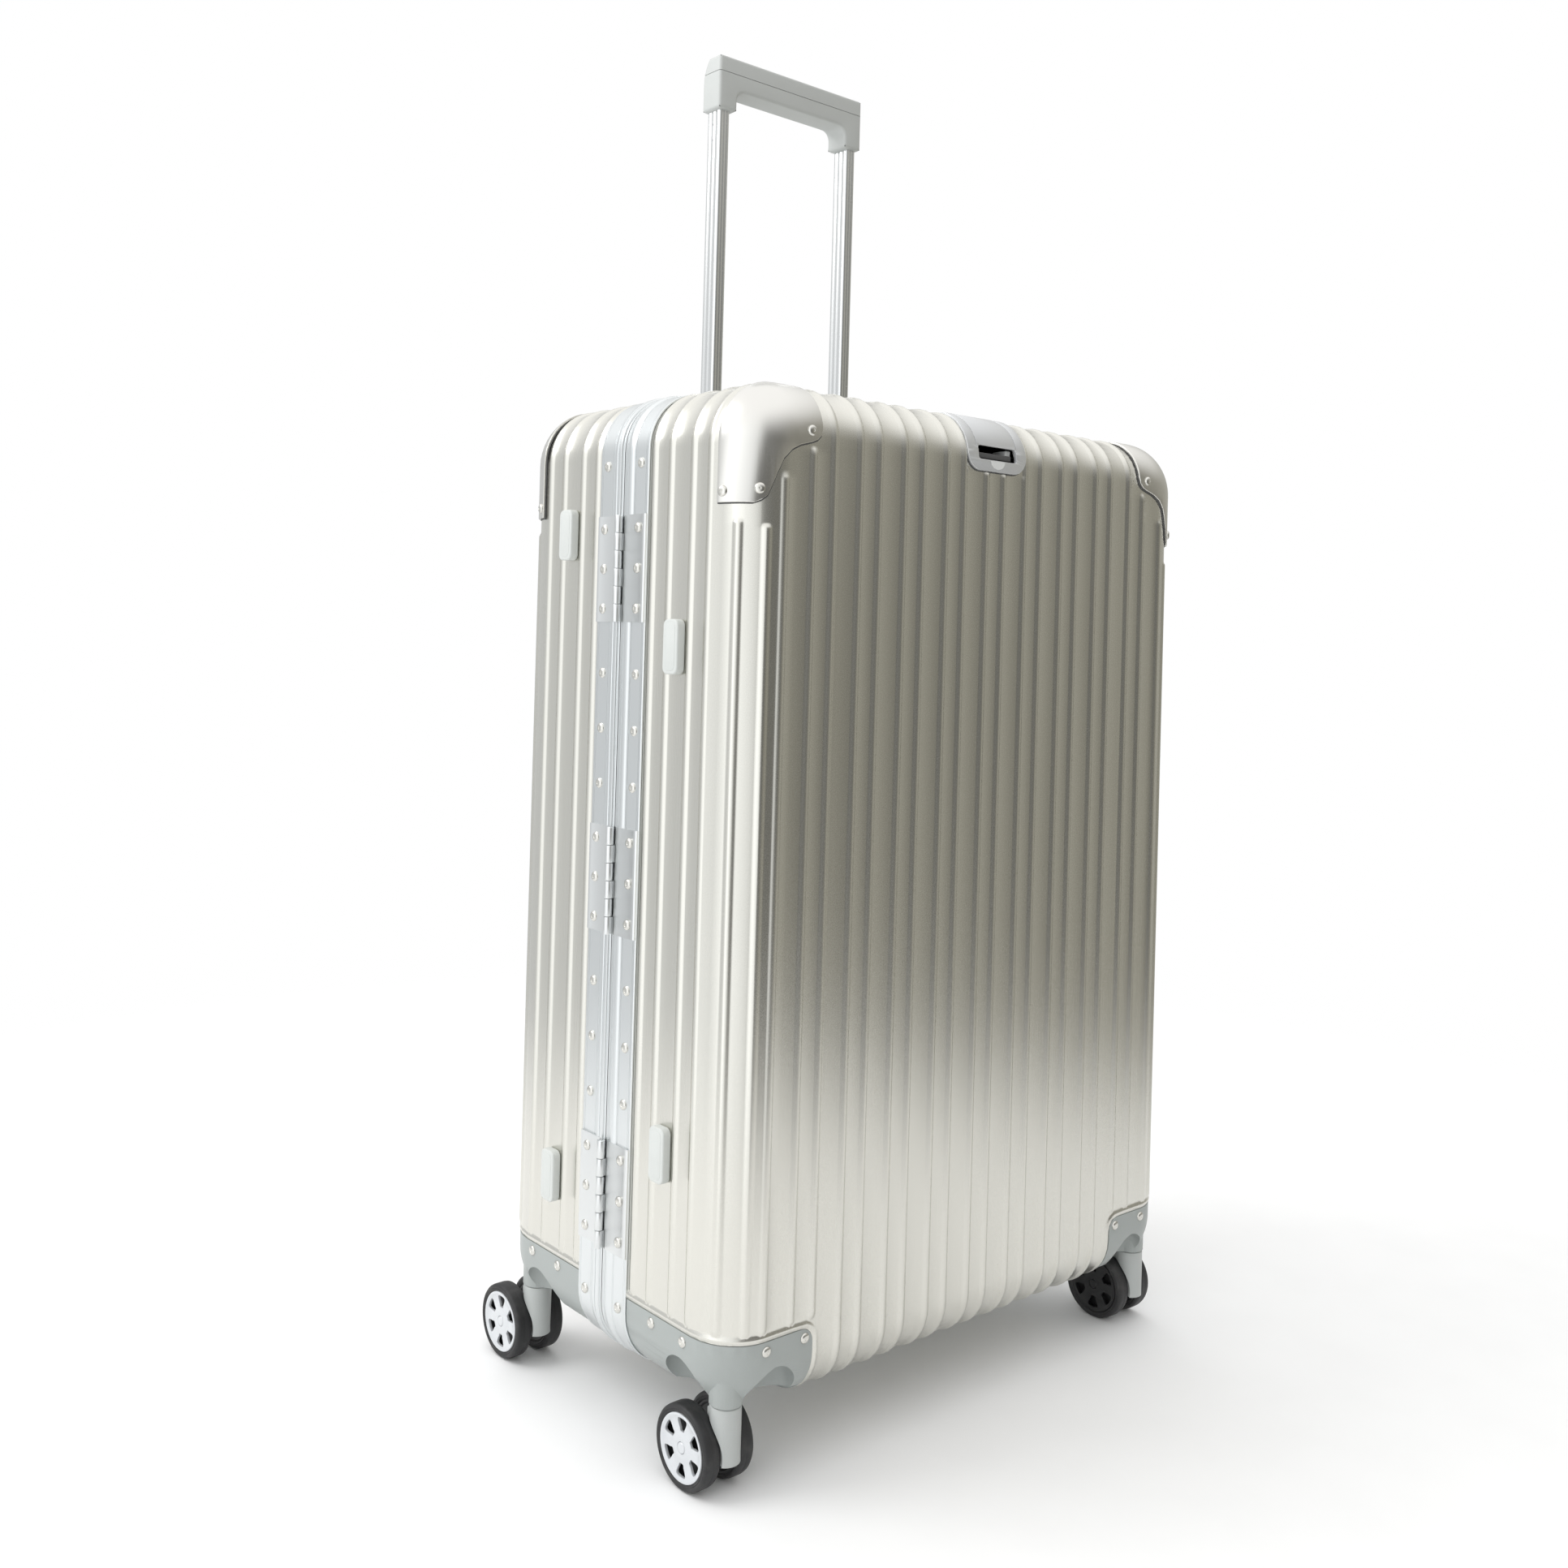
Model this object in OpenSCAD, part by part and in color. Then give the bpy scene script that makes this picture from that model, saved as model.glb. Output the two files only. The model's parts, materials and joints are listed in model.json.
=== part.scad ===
// Hard shell suitcase on four twin-wheel casters, with a telescoping trolley.
// X runs across the case, the hinges are on the -X side, the lid half faces -Y, +Z is up.
// The parting plane of the two halves is at y = case_y; z = 0 is the floor.

/* [Case] */
// Width of the case body
case_w = 510; // [420:1:600]
// Depth of the closed case body, front panel to back panel
case_d = 290; // [250:1:340]
// Height of the case body, without casters and handles
case_h = 730; // [600:1:800]
// Height of the body's underside above the floor
ground_gap = 54; // [52:0.5:58]
// Thickness of the shell sheet
wall = 1.5; // [1:0.1:2.5]
// Radius of the four corners seen from the front
corner_r = 45; // [41:1:60]
// Radius of the edges around the front and back panels
edge_r = 38; // [30:1:40]

/* [Ribs] */
// Spacing of the rib pairs
rib_pitch = 46.2; // [40:0.1:52]
// Distance between the two ribs of a pair
rib_pair = 20.1; // [16:0.1:24]
// Width of one rib
rib_w = 8; // [5:0.5:10]
// Height of a rib above the sheet
rib_h = 2.2; // [1:0.1:3]
// Distance of the first side rib from the parting plane
side_rib_start = 37.5; // [36:0.1:40]
// Gap between a side pair's second rib and the next pair
side_rib_gap = 26.3; // [22:0.1:27]

/* [Frame] */
// Width of one half's frame strip on the narrow sides
frame_w = 31; // [28:0.5:33]
// Thickness of the frame flange outside the sheet
frame_t = 1.6; // [1.2:0.1:2.5]
// Width of the thick rim beside the parting plane
rim_w = 12; // [9:0.5:14]
// How far the thick rim reaches inside the case
rim_in = 6; // [4:0.5:9]
// Half the gap between the two closed frames
frame_gap = 0.5; // [0.4:0.1:1]
// Height of the raised band along the frame
bead_h = 1.3; // [0.8:0.1:1.4]
// Width of the raised band along the frame
bead_w = 8; // [5:0.5:9]
// Diameter of the rivet heads
rivet_d = 8; // [6:0.5:9]
// Height of the rivet heads
rivet_h = 1.8; // [1.2:0.1:2]
// Diameter of the rivet shanks
shank_d = 4; // [3:0.5:5]

/* [Hinges and feet] */
// Distance between neighbouring hinges
hinge_pitch = 236; // [200:1:250]
// Height of one hinge
hinge_h = 81; // [70:1:90]
// Thickness of a hinge leaf
leaf_t = 1.5; // [1.2:0.1:2]
// Radius of the hinge knuckles
knuckle_r = 3.2; // [2.8:0.1:3.4]
// Diameter of the hinge pins
pin_d = 3; // [2.4:0.1:3.4]
// Spacing of a hinge leaf's rivets
leaf_rivet_pitch = 30.4; // [26:0.1:32]
// Width of the side feet
foot_w = 17.4; // [14:0.1:18]
// Length of the side feet
foot_l = 40; // [30:1:50]
// Height of the side feet above the sheet
foot_h = 7.6; // [5:0.1:8]

/* [Casters] */
// Radius of the wheels
wheel_r = 29.4; // [28:0.1:30]
// Width of one wheel
wheel_w = 14; // [11:0.5:16]
// Distance from the caster's middle to the middle of a wheel
wheel_half_gap = 15; // [13:0.5:17]
// How far the axle trails the swivel axis
trail = 22.3; // [16:0.1:26]
// Distance of the swivel axes from the body's sides
stem_in_x = 21; // [19:0.5:26]
// Distance of the swivel axes from the body's front and back
stem_in_y = 22; // [19:0.5:26]
// Diameter of the caster stem
stem_d = 23; // [18:0.5:26]
// Diameter of the steel king pin inside the boss
king_d = 12; // [8:0.5:14]
// Diameter of the axles
axle_d = 8; // [6:0.5:10]
// Width of a wheel housing across the front and back panels
housing_w = 82; // [80:1:95]
// Height of a wheel housing's upper edge above the body's underside
housing_h = 56; // [50:1:62]
// Wall of the wheel housings
housing_t = 4; // [3:0.5:5]

/* [Corner guards] */
// Height of a guard below the top of the body
guard_h = 89; // [80:1:100]
// Width of a guard's top leg across the panel
guard_leg = 65; // [58:1:72]
// Depth of a guard along the narrow side
guard_d = 32; // [26:1:34]
// Thickness of the guards above the sheet
guard_t = 2.4; // [1.6:0.1:2.6]

/* [Trolley] */
// Distance between the two pole centres
pole_span = 156; // [130:1:180]
// Distance of the poles' centre from the back panel
pole_in = 22.5; // [20:0.5:26]
// Width of the inner tubes, across the case
tube_w = 12; // [10:0.5:14]
// Depth of the inner tubes
tube_d = 18; // [14:0.5:19]
// Wall of all trolley tubes
tube_t = 1.3; // [1:0.1:1.5]
// Running gap between one tube and the next
tube_gap = 0.25; // [0.15:0.05:0.4]
// How far the inner tubes stand out of the case
pull_out = 290; // [220:1:340]
// Height of the grip from its legs' lower edge to its top
grip_h = 48; // [42:1:56]
// Thickness of the grip's bar
grip_bar = 29; // [24:1:32]
// Depth of the grip, front to back
grip_d = 25; // [22:0.5:28]
// Width of a grip's leg across the case
grip_leg = 21; // [18:0.5:24]

/* [Carry handles] */
// Length of the hand grip
hand_l = 108; // [95:1:130]
// Length of the links at both ends of the hand grip
link_l = 15; // [12:1:18]
// Length of a handle mount
mount_l = 31; // [26:1:36]
// Width of the mounts across the frame
mount_w = 24; // [20:0.5:26]
// Height of the mounts above the frame
mount_h = 16; // [14:0.5:17]
// How far a carry handle lifts out
hand_lift = 20; // [12:1:24]

/* [Latches] */
// Distance of each latch from the middle of the case
latch_offset = 170; // [150:1:185]
// Length of a latch
latch_l = 64; // [50:1:70]
// Thickness of a latch lever
lever_t = 4; // [3:0.5:5]

/* [Bag holder] */
// Width of the bag holder's plate
holder_w = 69; // [60:1:80]
// Drop of the plate below the top of the body
holder_h = 46; // [40:1:60]
// Thickness of the plate above the sheet
holder_t = 2.6; // [2.3:0.1:3]
// Width of the holder's slot
slot_w = 45; // [36:1:50]
// Height of the holder's slot
slot_h = 11; // [8:0.5:13]

/* [Inside] */
// Thickness of the lining's stiffened fabric
lining_t = 2.5; // [1.5:0.1:4]
// Width of the packing straps
strap_w = 30; // [20:1:40]

/* [Hidden] */
$fn = 48;

// Clearances
air = 0.3;
running = 0.05;

// Body
half_w = case_w / 2;
half_d = case_d / 2;
body_top = ground_gap + case_h;
body_mid = ground_gap + case_h / 2;
stem_x = half_w - stem_in_x;
stem_y = half_d - stem_in_y;
front_reach = half_d + holder_t;
rear_reach = stem_y + trail + wheel_r;
case_y = (front_reach - rear_reach) / 2;
far = 2 * case_h;

// Ribs
pair_count = 4;
rib_x = [for (k = [-pair_count:pair_count]) for (s = [-1, 1]) k * rib_pitch + s * rib_pair / 2];
wrap_limit = half_w - housing_w;
wrap_rib_x = [for (x = rib_x) if (abs(x) + rib_w / 2 < wrap_limit) x];
bar_rib_x = [for (x = rib_x) if (abs(x) + rib_w / 2 >= wrap_limit && abs(x) + rib_w / 2 < half_w - edge_r) x];
side_rib_y = [
  side_rib_start, side_rib_start + rib_pair,
  side_rib_start + rib_pair + side_rib_gap, side_rib_start + 2 * rib_pair + side_rib_gap,
];
bend_angles = [33, 64, 84];
bend_rod_r = 4.4;
side_rib_return = 66;
bar_foot = ground_gap + housing_h + 4;
leg_drop = 44;
guard_leg_w = 28;
guard_bend = 12;

// Frame and rivets
frame_out = half_w + frame_t;
bead_out = frame_t + bead_h;
hinge_drop = 4;
gap_rivet_pitch = 42.3;
end_rivet = 315;
rivet_y = 21.7;
hinge_levels = [-1, 0, 1];
hinge_mid = body_mid - hinge_drop;
left_rivets = concat(
  [for (k = hinge_levels) for (j = [-1:1]) k * hinge_pitch + j * leaf_rivet_pitch],
  [for (s = [-1, 1]) for (j = [-1:1]) s * hinge_pitch / 2 - hinge_drop + j * gap_rivet_pitch],
  [-end_rivet, end_rivet]
);
right_rivets = [for (s = [-1, 1]) for (d = [40, 118, 225, 270, end_rivet]) s * d];
housing_rivet_y = [62, 99];
housing_rivet_x = [38, 74];
housing_rivet_z = ground_gap + housing_h - 7;
housing_lift = 0.4;
stub_l = 0;
end_rivets_x = [for (s = [-1, 1]) for (d = [58, 122, 180]) s * d];
hinge_x = -(frame_out + leaf_t + 2.4);
knuckle_count = 6;
knuckle_h = hinge_h / knuckle_count;
leaf_in = knuckle_r + 0.6;
foot_y = side_rib_start + rib_pair + side_rib_gap / 2;
rear_foot_z = [body_mid + 260, body_mid - 246];
front_foot_z = [body_mid + 174, body_mid - 191];

// Casters
king_r = king_d / 2;
boss_r = stem_d / 2 + 0.5;
swing_r = norm([trail + wheel_r, wheel_half_gap + wheel_w / 2]) + 3;
well_top = 2 * wheel_r + 5.8;
part_z = well_top - 0.6;
boss_h = 30;
collar_z = 2 * wheel_r + 0.6;
fork_foot = wheel_r - 6;
hub_r = 9;
fork_t = 2 * wheel_half_gap - wheel_w - 1.2;
axle_l = 2 * wheel_half_gap + wheel_w - 4;
rim_r = 0.81 * wheel_r;
window_count = 6;

// Trolley
pole_y = half_d - pole_in;
middle_w = tube_w + 2 * (tube_gap + tube_t);
middle_d = tube_d + 2 * (tube_gap + tube_t);
outer_w = middle_w + 2 * (tube_gap + tube_t);
outer_d = middle_d + 2 * (tube_gap + tube_t);
tube_foot = ground_gap + 60;
bezel_lift = 1.5;
grip_foot = body_top + pull_out;
grip_top = grip_foot + grip_h;
socket_depth = 14;
grip_half = pole_span / 2 + tube_w / 2 + 3.5;
button_l = 34;
button_w = 11;
button_y = pole_y - 1;
button_stroke = 3;
pin_drops = [12, 26];
pole_pin_d = 2.6;
bezel_edge = 4;
bezel_d = 14;

// Carry handles
handle_y = 16;
mount_out = hand_l / 2 + link_l;
hand_t = 11;
hand_w = 20;
hand_base = mount_h - hand_t - 1;

// Latches
latch_base_t = 1.2;
latch_base_y = 3;
ear_t = 6;
lever_l = latch_l - 2 * (ear_t + 0.4);
lever_w = 34;
lever_pivot_y = 25;
lever_pin_r = 1.6;
lever_barrel_r = 3.6;
lever_x = frame_out + bead_h + 0.2 + lever_barrel_r;
lever_in = lever_x - lever_t / 2;
keeper_out = 20;

// Bag holder
holder_back = 70;
slot_drop = 37;
hook_l = 27;
hook_t = 5;

// Inside
lining_in = 5;
lining_drop = 42;
lining_floor = ground_gap + 45;
lining_h = body_top - lining_drop - lining_floor;
rear_lining_y = pole_y - outer_d / 2 - 2;
strap_y = frame_w + 6;
strap_half = half_w - lining_in - lining_t - 1;
strap_offset = 120;
strap_t = 1.6;
buckle_w = 48;
buckle_t = 8;
divider_y = frame_w + 4;
divider_t = 2;

// ---- outlines and forms ----

module rounded_rect(w, h, r) {
  square([w - 2 * r, h], center = true);
  square([w, h - 2 * r], center = true);
  for (sx = [-1, 1]) for (sy = [-1, 1])
    translate([sx * (w / 2 - r), sy * (h / 2 - r)]) circle(r);
}

// Strip from y0 to y1 whose two far corners are rounded.
module far_rounded(w, y0, y1, r) {
  translate([-w / 2, y0]) square([w, y1 - r - y0]);
  translate([-w / 2 + r, y0]) square([w - 2 * r, y1 - y0]);
  for (s = [-1, 1]) translate([s * (w / 2 - r), y1 - r]) circle(r);
}

// Prism along Y of the body's front outline, moved in by inset.
module outline_prism(inset, y0, y1) {
  translate([0, y1, body_mid]) rotate([90, 0, 0]) linear_extrude(y1 - y0)
    rounded_rect(case_w - 2 * inset, case_h - 2 * inset, corner_r - inset);
}

// Prism along X of one half's side outline, moved in by inset.
module side_profile(inset, y0, width) {
  translate([-width / 2, 0, body_mid]) rotate([90, 0, 90]) linear_extrude(width)
    mirror([1, -1]) far_rounded(case_h - 2 * inset, y0, half_d - inset, edge_r - inset);
}

// Solid of one half, moved in by inset, from y0 to the back panel.
module half_form(inset, y0) {
  intersection() {
    outline_prism(inset, y0, half_d + wall);
    translate([0, 0, ground_gap - far / 2]) linear_extrude(2 * far)
      far_rounded(case_w - 2 * inset, y0, half_d - inset, edge_r - inset);
    side_profile(inset, y0, far);
  }
}

module front_half() mirror([0, 1, 0]) children();
module both_sides() for (s = [0, 1]) mirror([s, 0, 0]) children();
module placed() translate([0, case_y, 0]) children();

// ---- shells ----

module panel_ribs() {
  for (x = wrap_rib_x) translate([x, 0, 0]) difference() {
    side_profile(-rib_h, rim_w + 20, rib_w);
    side_profile(wall / 2, 0, 2 * rib_w);
  }
  for (x = bar_rib_x)
    translate([x - rib_w / 2, half_d - wall / 2, bar_foot])
      cube([rib_w, rib_h + wall / 2, bar_top(x) - bar_foot]);
}

// Upper ends of the ribs that stop below a corner guard.
function bar_top(x) = body_top - (abs(x) < wrap_limit + rib_w ? edge_r + 2 : leg_drop + 6);
function bend_top(a) = body_top - (a > 80 ? leg_drop + 23 : guard_h + 11);

module side_ribs() {
  for (y = side_rib_y) translate([0, y - rib_w / 2, 0]) intersection() {
    difference() {
      outline_prism(-rib_h, 0, rib_w);
      outline_prism(wall / 2, -1, rib_w + 1);
    }
    for (s = [-1, 1])
      translate([s * half_w - side_rib_return, -rib_w, bar_foot])
        cube([2 * side_rib_return, 3 * rib_w, case_h]);
  }
}

module bend_ribs() {
  both_sides() for (a = bend_angles)
    translate([half_w - edge_r, half_d - edge_r, bar_foot]) rotate([0, 0, a])
      translate([edge_r + rib_h - bend_rod_r, 0, 0])
        cylinder(r = bend_rod_r, h = bend_top(a) - bar_foot);
}

// Corner region of a wheel housing on the +X side, drawn in by gap.
module housing_zone(gap) {
  translate([half_w - housing_w + gap, frame_w + gap, 0])
    cube([housing_w + 10, half_d, ground_gap + housing_h - gap]);
}

module ribbed_shell() {
  difference() {
    union() {
      difference() {
        union() {
          half_form(0, rim_w);
          bend_ribs();
        }
        half_form(wall, rim_w - 1);
      }
      panel_ribs();
      side_ribs();
    }
    both_sides() housing_zone(0);
    rivet_holes();
  }
}

module rear_shell() {
  color("silver") placed() difference() {
    ribbed_shell();
    bezel_cut(air);
  }
}

module front_shell() {
  color("silver") placed() front_half() difference() {
    ribbed_shell();
    holder_zone(air);
    holder_slot(1);
  }
}

// ---- frames ----

module frame_ring(out, inner, y0, y1) {
  difference() {
    outline_prism(-out, y0, y1);
    outline_prism(inner, y0 - 1, y1 + 1);
  }
}

module half_frame(bead_y) {
  difference() {
    union() {
      frame_ring(frame_t, rim_in, frame_gap, rim_w);
      frame_ring(frame_t, 0, rim_w - 0.5, frame_w);
      difference() {
        frame_ring(bead_out, 0, bead_y, bead_y + bead_w);
        fitting_zones();
      }
    }
    rivet_holes();
  }
}

// Where hinges, latches and handles sit flat on the frame, so the raised band stops there.
module fitting_zones() {
  for (k = hinge_levels)
    translate([-frame_out - 10, -1, hinge_mid + k * hinge_pitch - hinge_h / 2 - 1])
      cube([10, frame_w + 2, hinge_h + 2]);
  for (s = [-1, 1]) {
    translate([frame_out, -1, body_mid + s * latch_offset - latch_l / 2 - 1])
      cube([10, frame_w + 2, latch_l + 2]);
    translate([frame_out, -1, body_mid + s * (mount_out + mount_l / 2) - mount_l / 2 - 1])
      cube([10, frame_w + 2, mount_l + 2]);
    translate([s * (mount_out + mount_l / 2) - mount_l / 2 - 1, -1, body_top + frame_t])
      cube([mount_l + 2, frame_w + 2, 10]);
  }
}

module rear_frame() {
  color("gainsboro") placed() half_frame(3);
}

module front_frame() {
  color("gainsboro") placed() front_half() half_frame(5);
}

module frame_seal() {
  color("dimgray") placed() difference() {
    outline_prism(2, -0.1, frame_gap);
    outline_prism(rim_in - 1, -1, frame_gap + 1);
  }
}

// ---- rivets ----

module at_rivets() {
  for (d = left_rivets) translate([-half_w, rivet_y, hinge_mid + d]) rotate([0, -90, 0]) children();
  for (d = right_rivets) translate([half_w, rivet_y, body_mid + d]) rotate([0, 90, 0]) children();
  for (x = end_rivets_x) {
    translate([x, rivet_y, body_top]) children();
    translate([x, rivet_y, ground_gap]) rotate([180, 0, 0]) children();
  }
}

module rivet_holes() {
  at_rivets() translate([0, 0, -2 * wall]) cylinder(d = shank_d + 0.1, h = 4 * wall + 4);
}

// A domed head on top of z = 0 with its shank below.
module rivet(shank_l) {
  dome_r = (rivet_d * rivet_d / 4 + rivet_h * rivet_h) / (2 * rivet_h);
  intersection() {
    translate([0, 0, rivet_h - dome_r]) sphere(dome_r);
    cylinder(d = rivet_d, h = rivet_h + 1);
  }
  translate([0, 0, -shank_l]) cylinder(d = shank_d, h = shank_l + 0.2);
}

// Whether a rivet at this height goes through a hinge leaf.
function near_hinge(d) = len([for (k = hinge_levels) if (abs(d - k * hinge_pitch) < hinge_h / 2) k]) > 0;

module half_rivets() {
  for (d = left_rivets)
    translate([-frame_out - (near_hinge(d) ? leaf_t : 0), rivet_y, hinge_mid + d])
      rotate([0, -90, 0]) rivet(frame_t + wall);
  for (d = right_rivets) translate([frame_out, rivet_y, body_mid + d]) rotate([0, 90, 0]) rivet(frame_t + wall);
  for (x = end_rivets_x) {
    translate([x, rivet_y, body_top + frame_t]) rivet(frame_t + wall);
    translate([x, rivet_y, ground_gap - frame_t]) rotate([180, 0, 0]) rivet(frame_t + wall);
  }
  both_sides() {
    for (y = housing_rivet_y)
      translate([half_w + housing_lift, y, housing_rivet_z]) rotate([0, 90, 0]) rivet(stub_l);
    for (x = housing_rivet_x)
      translate([half_w - x, half_d + housing_lift, housing_rivet_z]) rotate([-90, 0, 0]) rivet(stub_l);
    translate([half_w - guard_leg + 9, half_d + guard_t, body_top - leg_drop + 9])
      rotate([-90, 0, 0]) rivet(stub_l);
  }
}

module rear_rivets() {
  color("lightgray") placed() half_rivets();
}

module front_rivets() {
  color("lightgray") placed() front_half() half_rivets();
}

// ---- corner guards and wheel housings ----

// Front view of a guard at the upper right corner, z measured down from the body's top.
module guard_outline() {
  difference() {
    union() {
      translate([-guard_leg_w, -guard_h]) square([2 * guard_leg_w, guard_h + far]);
      translate([-guard_leg, -leg_drop]) square([guard_leg + far, leg_drop + far]);
      translate([-guard_leg_w - guard_bend, -leg_drop - guard_bend]) square(guard_bend + 1);
    }
    translate([-guard_leg_w - guard_bend, -leg_drop - guard_bend]) circle(guard_bend);
  }
}

module guards() {
  both_sides() intersection() {
    difference() {
      half_form(-guard_t, rim_w);
      half_form(0, 0);
    }
    translate([half_w, half_d + 10, body_top]) rotate([90, 0, 0])
      linear_extrude(guard_d + 10) guard_outline();
  }
}

module rear_corner_guards() {
  color("lightgray") placed() guards();
}

module front_corner_guards() {
  color("lightgray") placed() front_half() guards();
}

module housings() {
  both_sides() difference() {
    union() {
      intersection() {
        difference() {
          half_form(-housing_lift, frame_w + air);
          half_form(housing_t, 0);
        }
        housing_zone(air);
      }
      intersection() {
        half_form(-housing_lift, frame_w + air);
        union() {
          translate([stem_x - swing_r - housing_t, stem_y - swing_r - housing_t, ground_gap])
            cube([far, far, well_top + housing_t - ground_gap]);
          translate([stem_x, stem_y, part_z]) cylinder(r = boss_r + 3, h = boss_h);
        }
        housing_zone(air);
      }
      translate([stem_x, stem_y, part_z]) cylinder(r = boss_r, h = boss_h);
    }
    difference() {
      translate([stem_x - swing_r, stem_y - swing_r, 0]) cube([far, far, well_top]);
      translate([stem_x, stem_y, part_z]) cylinder(r = boss_r, h = boss_h);
    }
    translate([stem_x, stem_y, part_z - 1]) cylinder(r = king_r + running, h = 60);
  }
}

module rear_wheel_housings() {
  color("darkgray") placed() housings();
}

module front_wheel_housings() {
  color("darkgray") placed() front_half() housings();
}

// ---- hinges ----

module at_hinges() for (k = hinge_levels) translate([0, 0, hinge_mid + k * hinge_pitch]) children();

module hinge_leaf(first) {
  knuckle_z = [for (i = [first:2:knuckle_count - 1]) hinge_h / 2 - (i + 1) * knuckle_h];
  difference() {
    union() {
      translate([-frame_out - leaf_t, leaf_in, -hinge_h / 2]) cube([leaf_t, frame_w - leaf_in, hinge_h]);
      for (z = knuckle_z) {
        translate([hinge_x, 0, z + 0.15]) cylinder(r = knuckle_r, h = knuckle_h - 0.3);
        translate([-frame_out - leaf_t, 0, z + 0.15]) cube([leaf_t, knuckle_r + 1, knuckle_h - 0.3]);
      }
    }
    translate([hinge_x, 0, -hinge_h]) cylinder(d = pin_d + 2 * running, h = 2 * hinge_h);
    for (j = [-1:1])
      translate([-half_w, rivet_y, j * leaf_rivet_pitch]) rotate([0, -90, 0])
        cylinder(d = shank_d + 0.1, h = 10);
  }
}

module hinge_leaves_rear() {
  color("gainsboro") placed() at_hinges() hinge_leaf(0);
}

module hinge_leaves_front() {
  color("gainsboro") placed() at_hinges() front_half() hinge_leaf(1);
}

module hinge_pins() {
  color("gray") placed() at_hinges() translate([hinge_x, 0, -hinge_h / 2]) cylinder(d = pin_d, h = hinge_h);
}

// ---- side feet ----

module foot(y, z) {
  translate([-half_w, y, z]) rotate([0, -90, 0]) rotate([0, 0, 90]) linear_extrude(foot_h)
    rounded_rect(foot_w, foot_l, 5);
}

module rear_feet() {
  color("lightgray") placed() for (z = rear_foot_z) foot(foot_y, z);
}

module front_feet() {
  color("lightgray") placed() for (z = front_foot_z) foot(-foot_y, z);
}

// ---- trolley ----

module tube_pair(w, d, z0, z1) {
  for (s = [-1, 1]) translate([s * pole_span / 2, pole_y, z0]) linear_extrude(z1 - z0) difference() {
    rounded_rect(w, d, 2.5);
    rounded_rect(w - 2 * tube_t, d - 2 * tube_t, 1.2);
  }
}

module bezel_outline(grow) {
  translate([0, pole_y]) rounded_rect(
    pole_span + outer_w + 4 * bezel_edge + 2 * grow, outer_d + 2 * bezel_edge + 2 * grow, 8 + grow);
}

module bezel_cut(grow) {
  translate([0, 0, body_top - 30]) linear_extrude(60) bezel_outline(grow);
}

module trolley_bezel() {
  color("darkgray") placed() difference() {
    intersection() {
      translate([0, 0, body_top - bezel_d]) linear_extrude(bezel_d + bezel_lift) bezel_outline(0);
      half_form(-bezel_lift, rim_w);
    }
    for (s = [-1, 1]) translate([s * pole_span / 2, pole_y, body_top - 20]) linear_extrude(40)
      rounded_rect(outer_w + 0.2, outer_d + 0.2, 2.6);
  }
}

module trolley_outer_tubes() {
  color("silver") placed() tube_pair(outer_w, outer_d, tube_foot, body_top - 4);
}

module trolley_middle_tubes() {
  color("silver") placed() tube_pair(middle_w, middle_d, tube_foot + 10, body_top + 1);
}

module trolley_inner_tubes() {
  color("silver") placed() difference() {
    tube_pair(tube_w, tube_d, tube_foot + 10 + pull_out, grip_foot + socket_depth);
    for (s = [-1, 1]) for (z = pin_drops)
      translate([s * (pole_span / 2 + tube_w / 2 - 2 * tube_t), pole_y, grip_foot - z])
        rotate([0, s * 90, 0]) cylinder(d = pole_pin_d, h = 10);
  }
}

// Side view of the grip: upright front, arched back.
module grip_profile() {
  back_r = 34;
  intersection() {
    translate([-grip_d / 2, 0]) square([grip_d, grip_h]);
    translate([grip_d / 2 - back_r, grip_h - 22]) union() {
      circle(back_r);
      translate([-back_r, -grip_h]) square([2 * back_r, grip_h]);
    }
  }
}

module trolley_grip() {
  gap_w = 2 * (grip_half - grip_leg);
  color("lightgray") placed() difference() {
    translate([-grip_half, pole_y, grip_foot]) rotate([90, 0, 90]) linear_extrude(2 * grip_half) grip_profile();
    translate([0, pole_y + grip_d, grip_foot - 1]) rotate([90, 0, 0]) linear_extrude(2 * grip_d)
      translate([0, (grip_h - grip_bar + 1) / 2 - 5]) rounded_rect(gap_w, grip_h - grip_bar + 11, 9);
    for (s = [-1, 1]) translate([s * pole_span / 2, pole_y, grip_foot - 1]) linear_extrude(socket_depth + 1)
      rounded_rect(tube_w, tube_d, 2.5);
    translate([0, button_y, grip_top - 12]) linear_extrude(20)
      rounded_rect(button_l + 0.5, button_w + 0.5, 4);
  }
}

module trolley_button() {
  color("gray") placed() translate([0, button_y, grip_top - 12 + button_stroke + air])
    linear_extrude(12 - button_stroke + 1) rounded_rect(button_l, button_w, 3.8);
}

// ---- carry handles ----

// A handle along X on a face at z = 0.
module handle_mount_pair() {
  both_sides() difference() {
    translate([mount_out, mount_w / 2, 0]) rotate([90, 0, 0]) linear_extrude(mount_w)
      polygon([[0, 0], [mount_l, 0], [mount_l, 3], [mount_l - 12, mount_h], [2, mount_h], [0, mount_h - 2]]);
    translate([mount_out - 1, -4.3, hand_base - 0.4]) cube([13.3, 8.6, mount_h]);
  }
}

module handle_grip() {
  translate([-hand_l / 2, 0, hand_base + hand_t / 2]) rotate([90, 0, 90]) linear_extrude(hand_l)
    rounded_rect(hand_w, hand_t, 5);
  both_sides() {
    translate([hand_l / 2, 0, hand_base + hand_t / 2]) rotate([90, 0, 90]) linear_extrude(link_l - 0.5)
      rounded_rect(hand_w - 4, hand_t - 2, 4);
    translate([mount_out - 1, -4, hand_base]) cube([13, 8, hand_t - 2]);
  }
}

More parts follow.
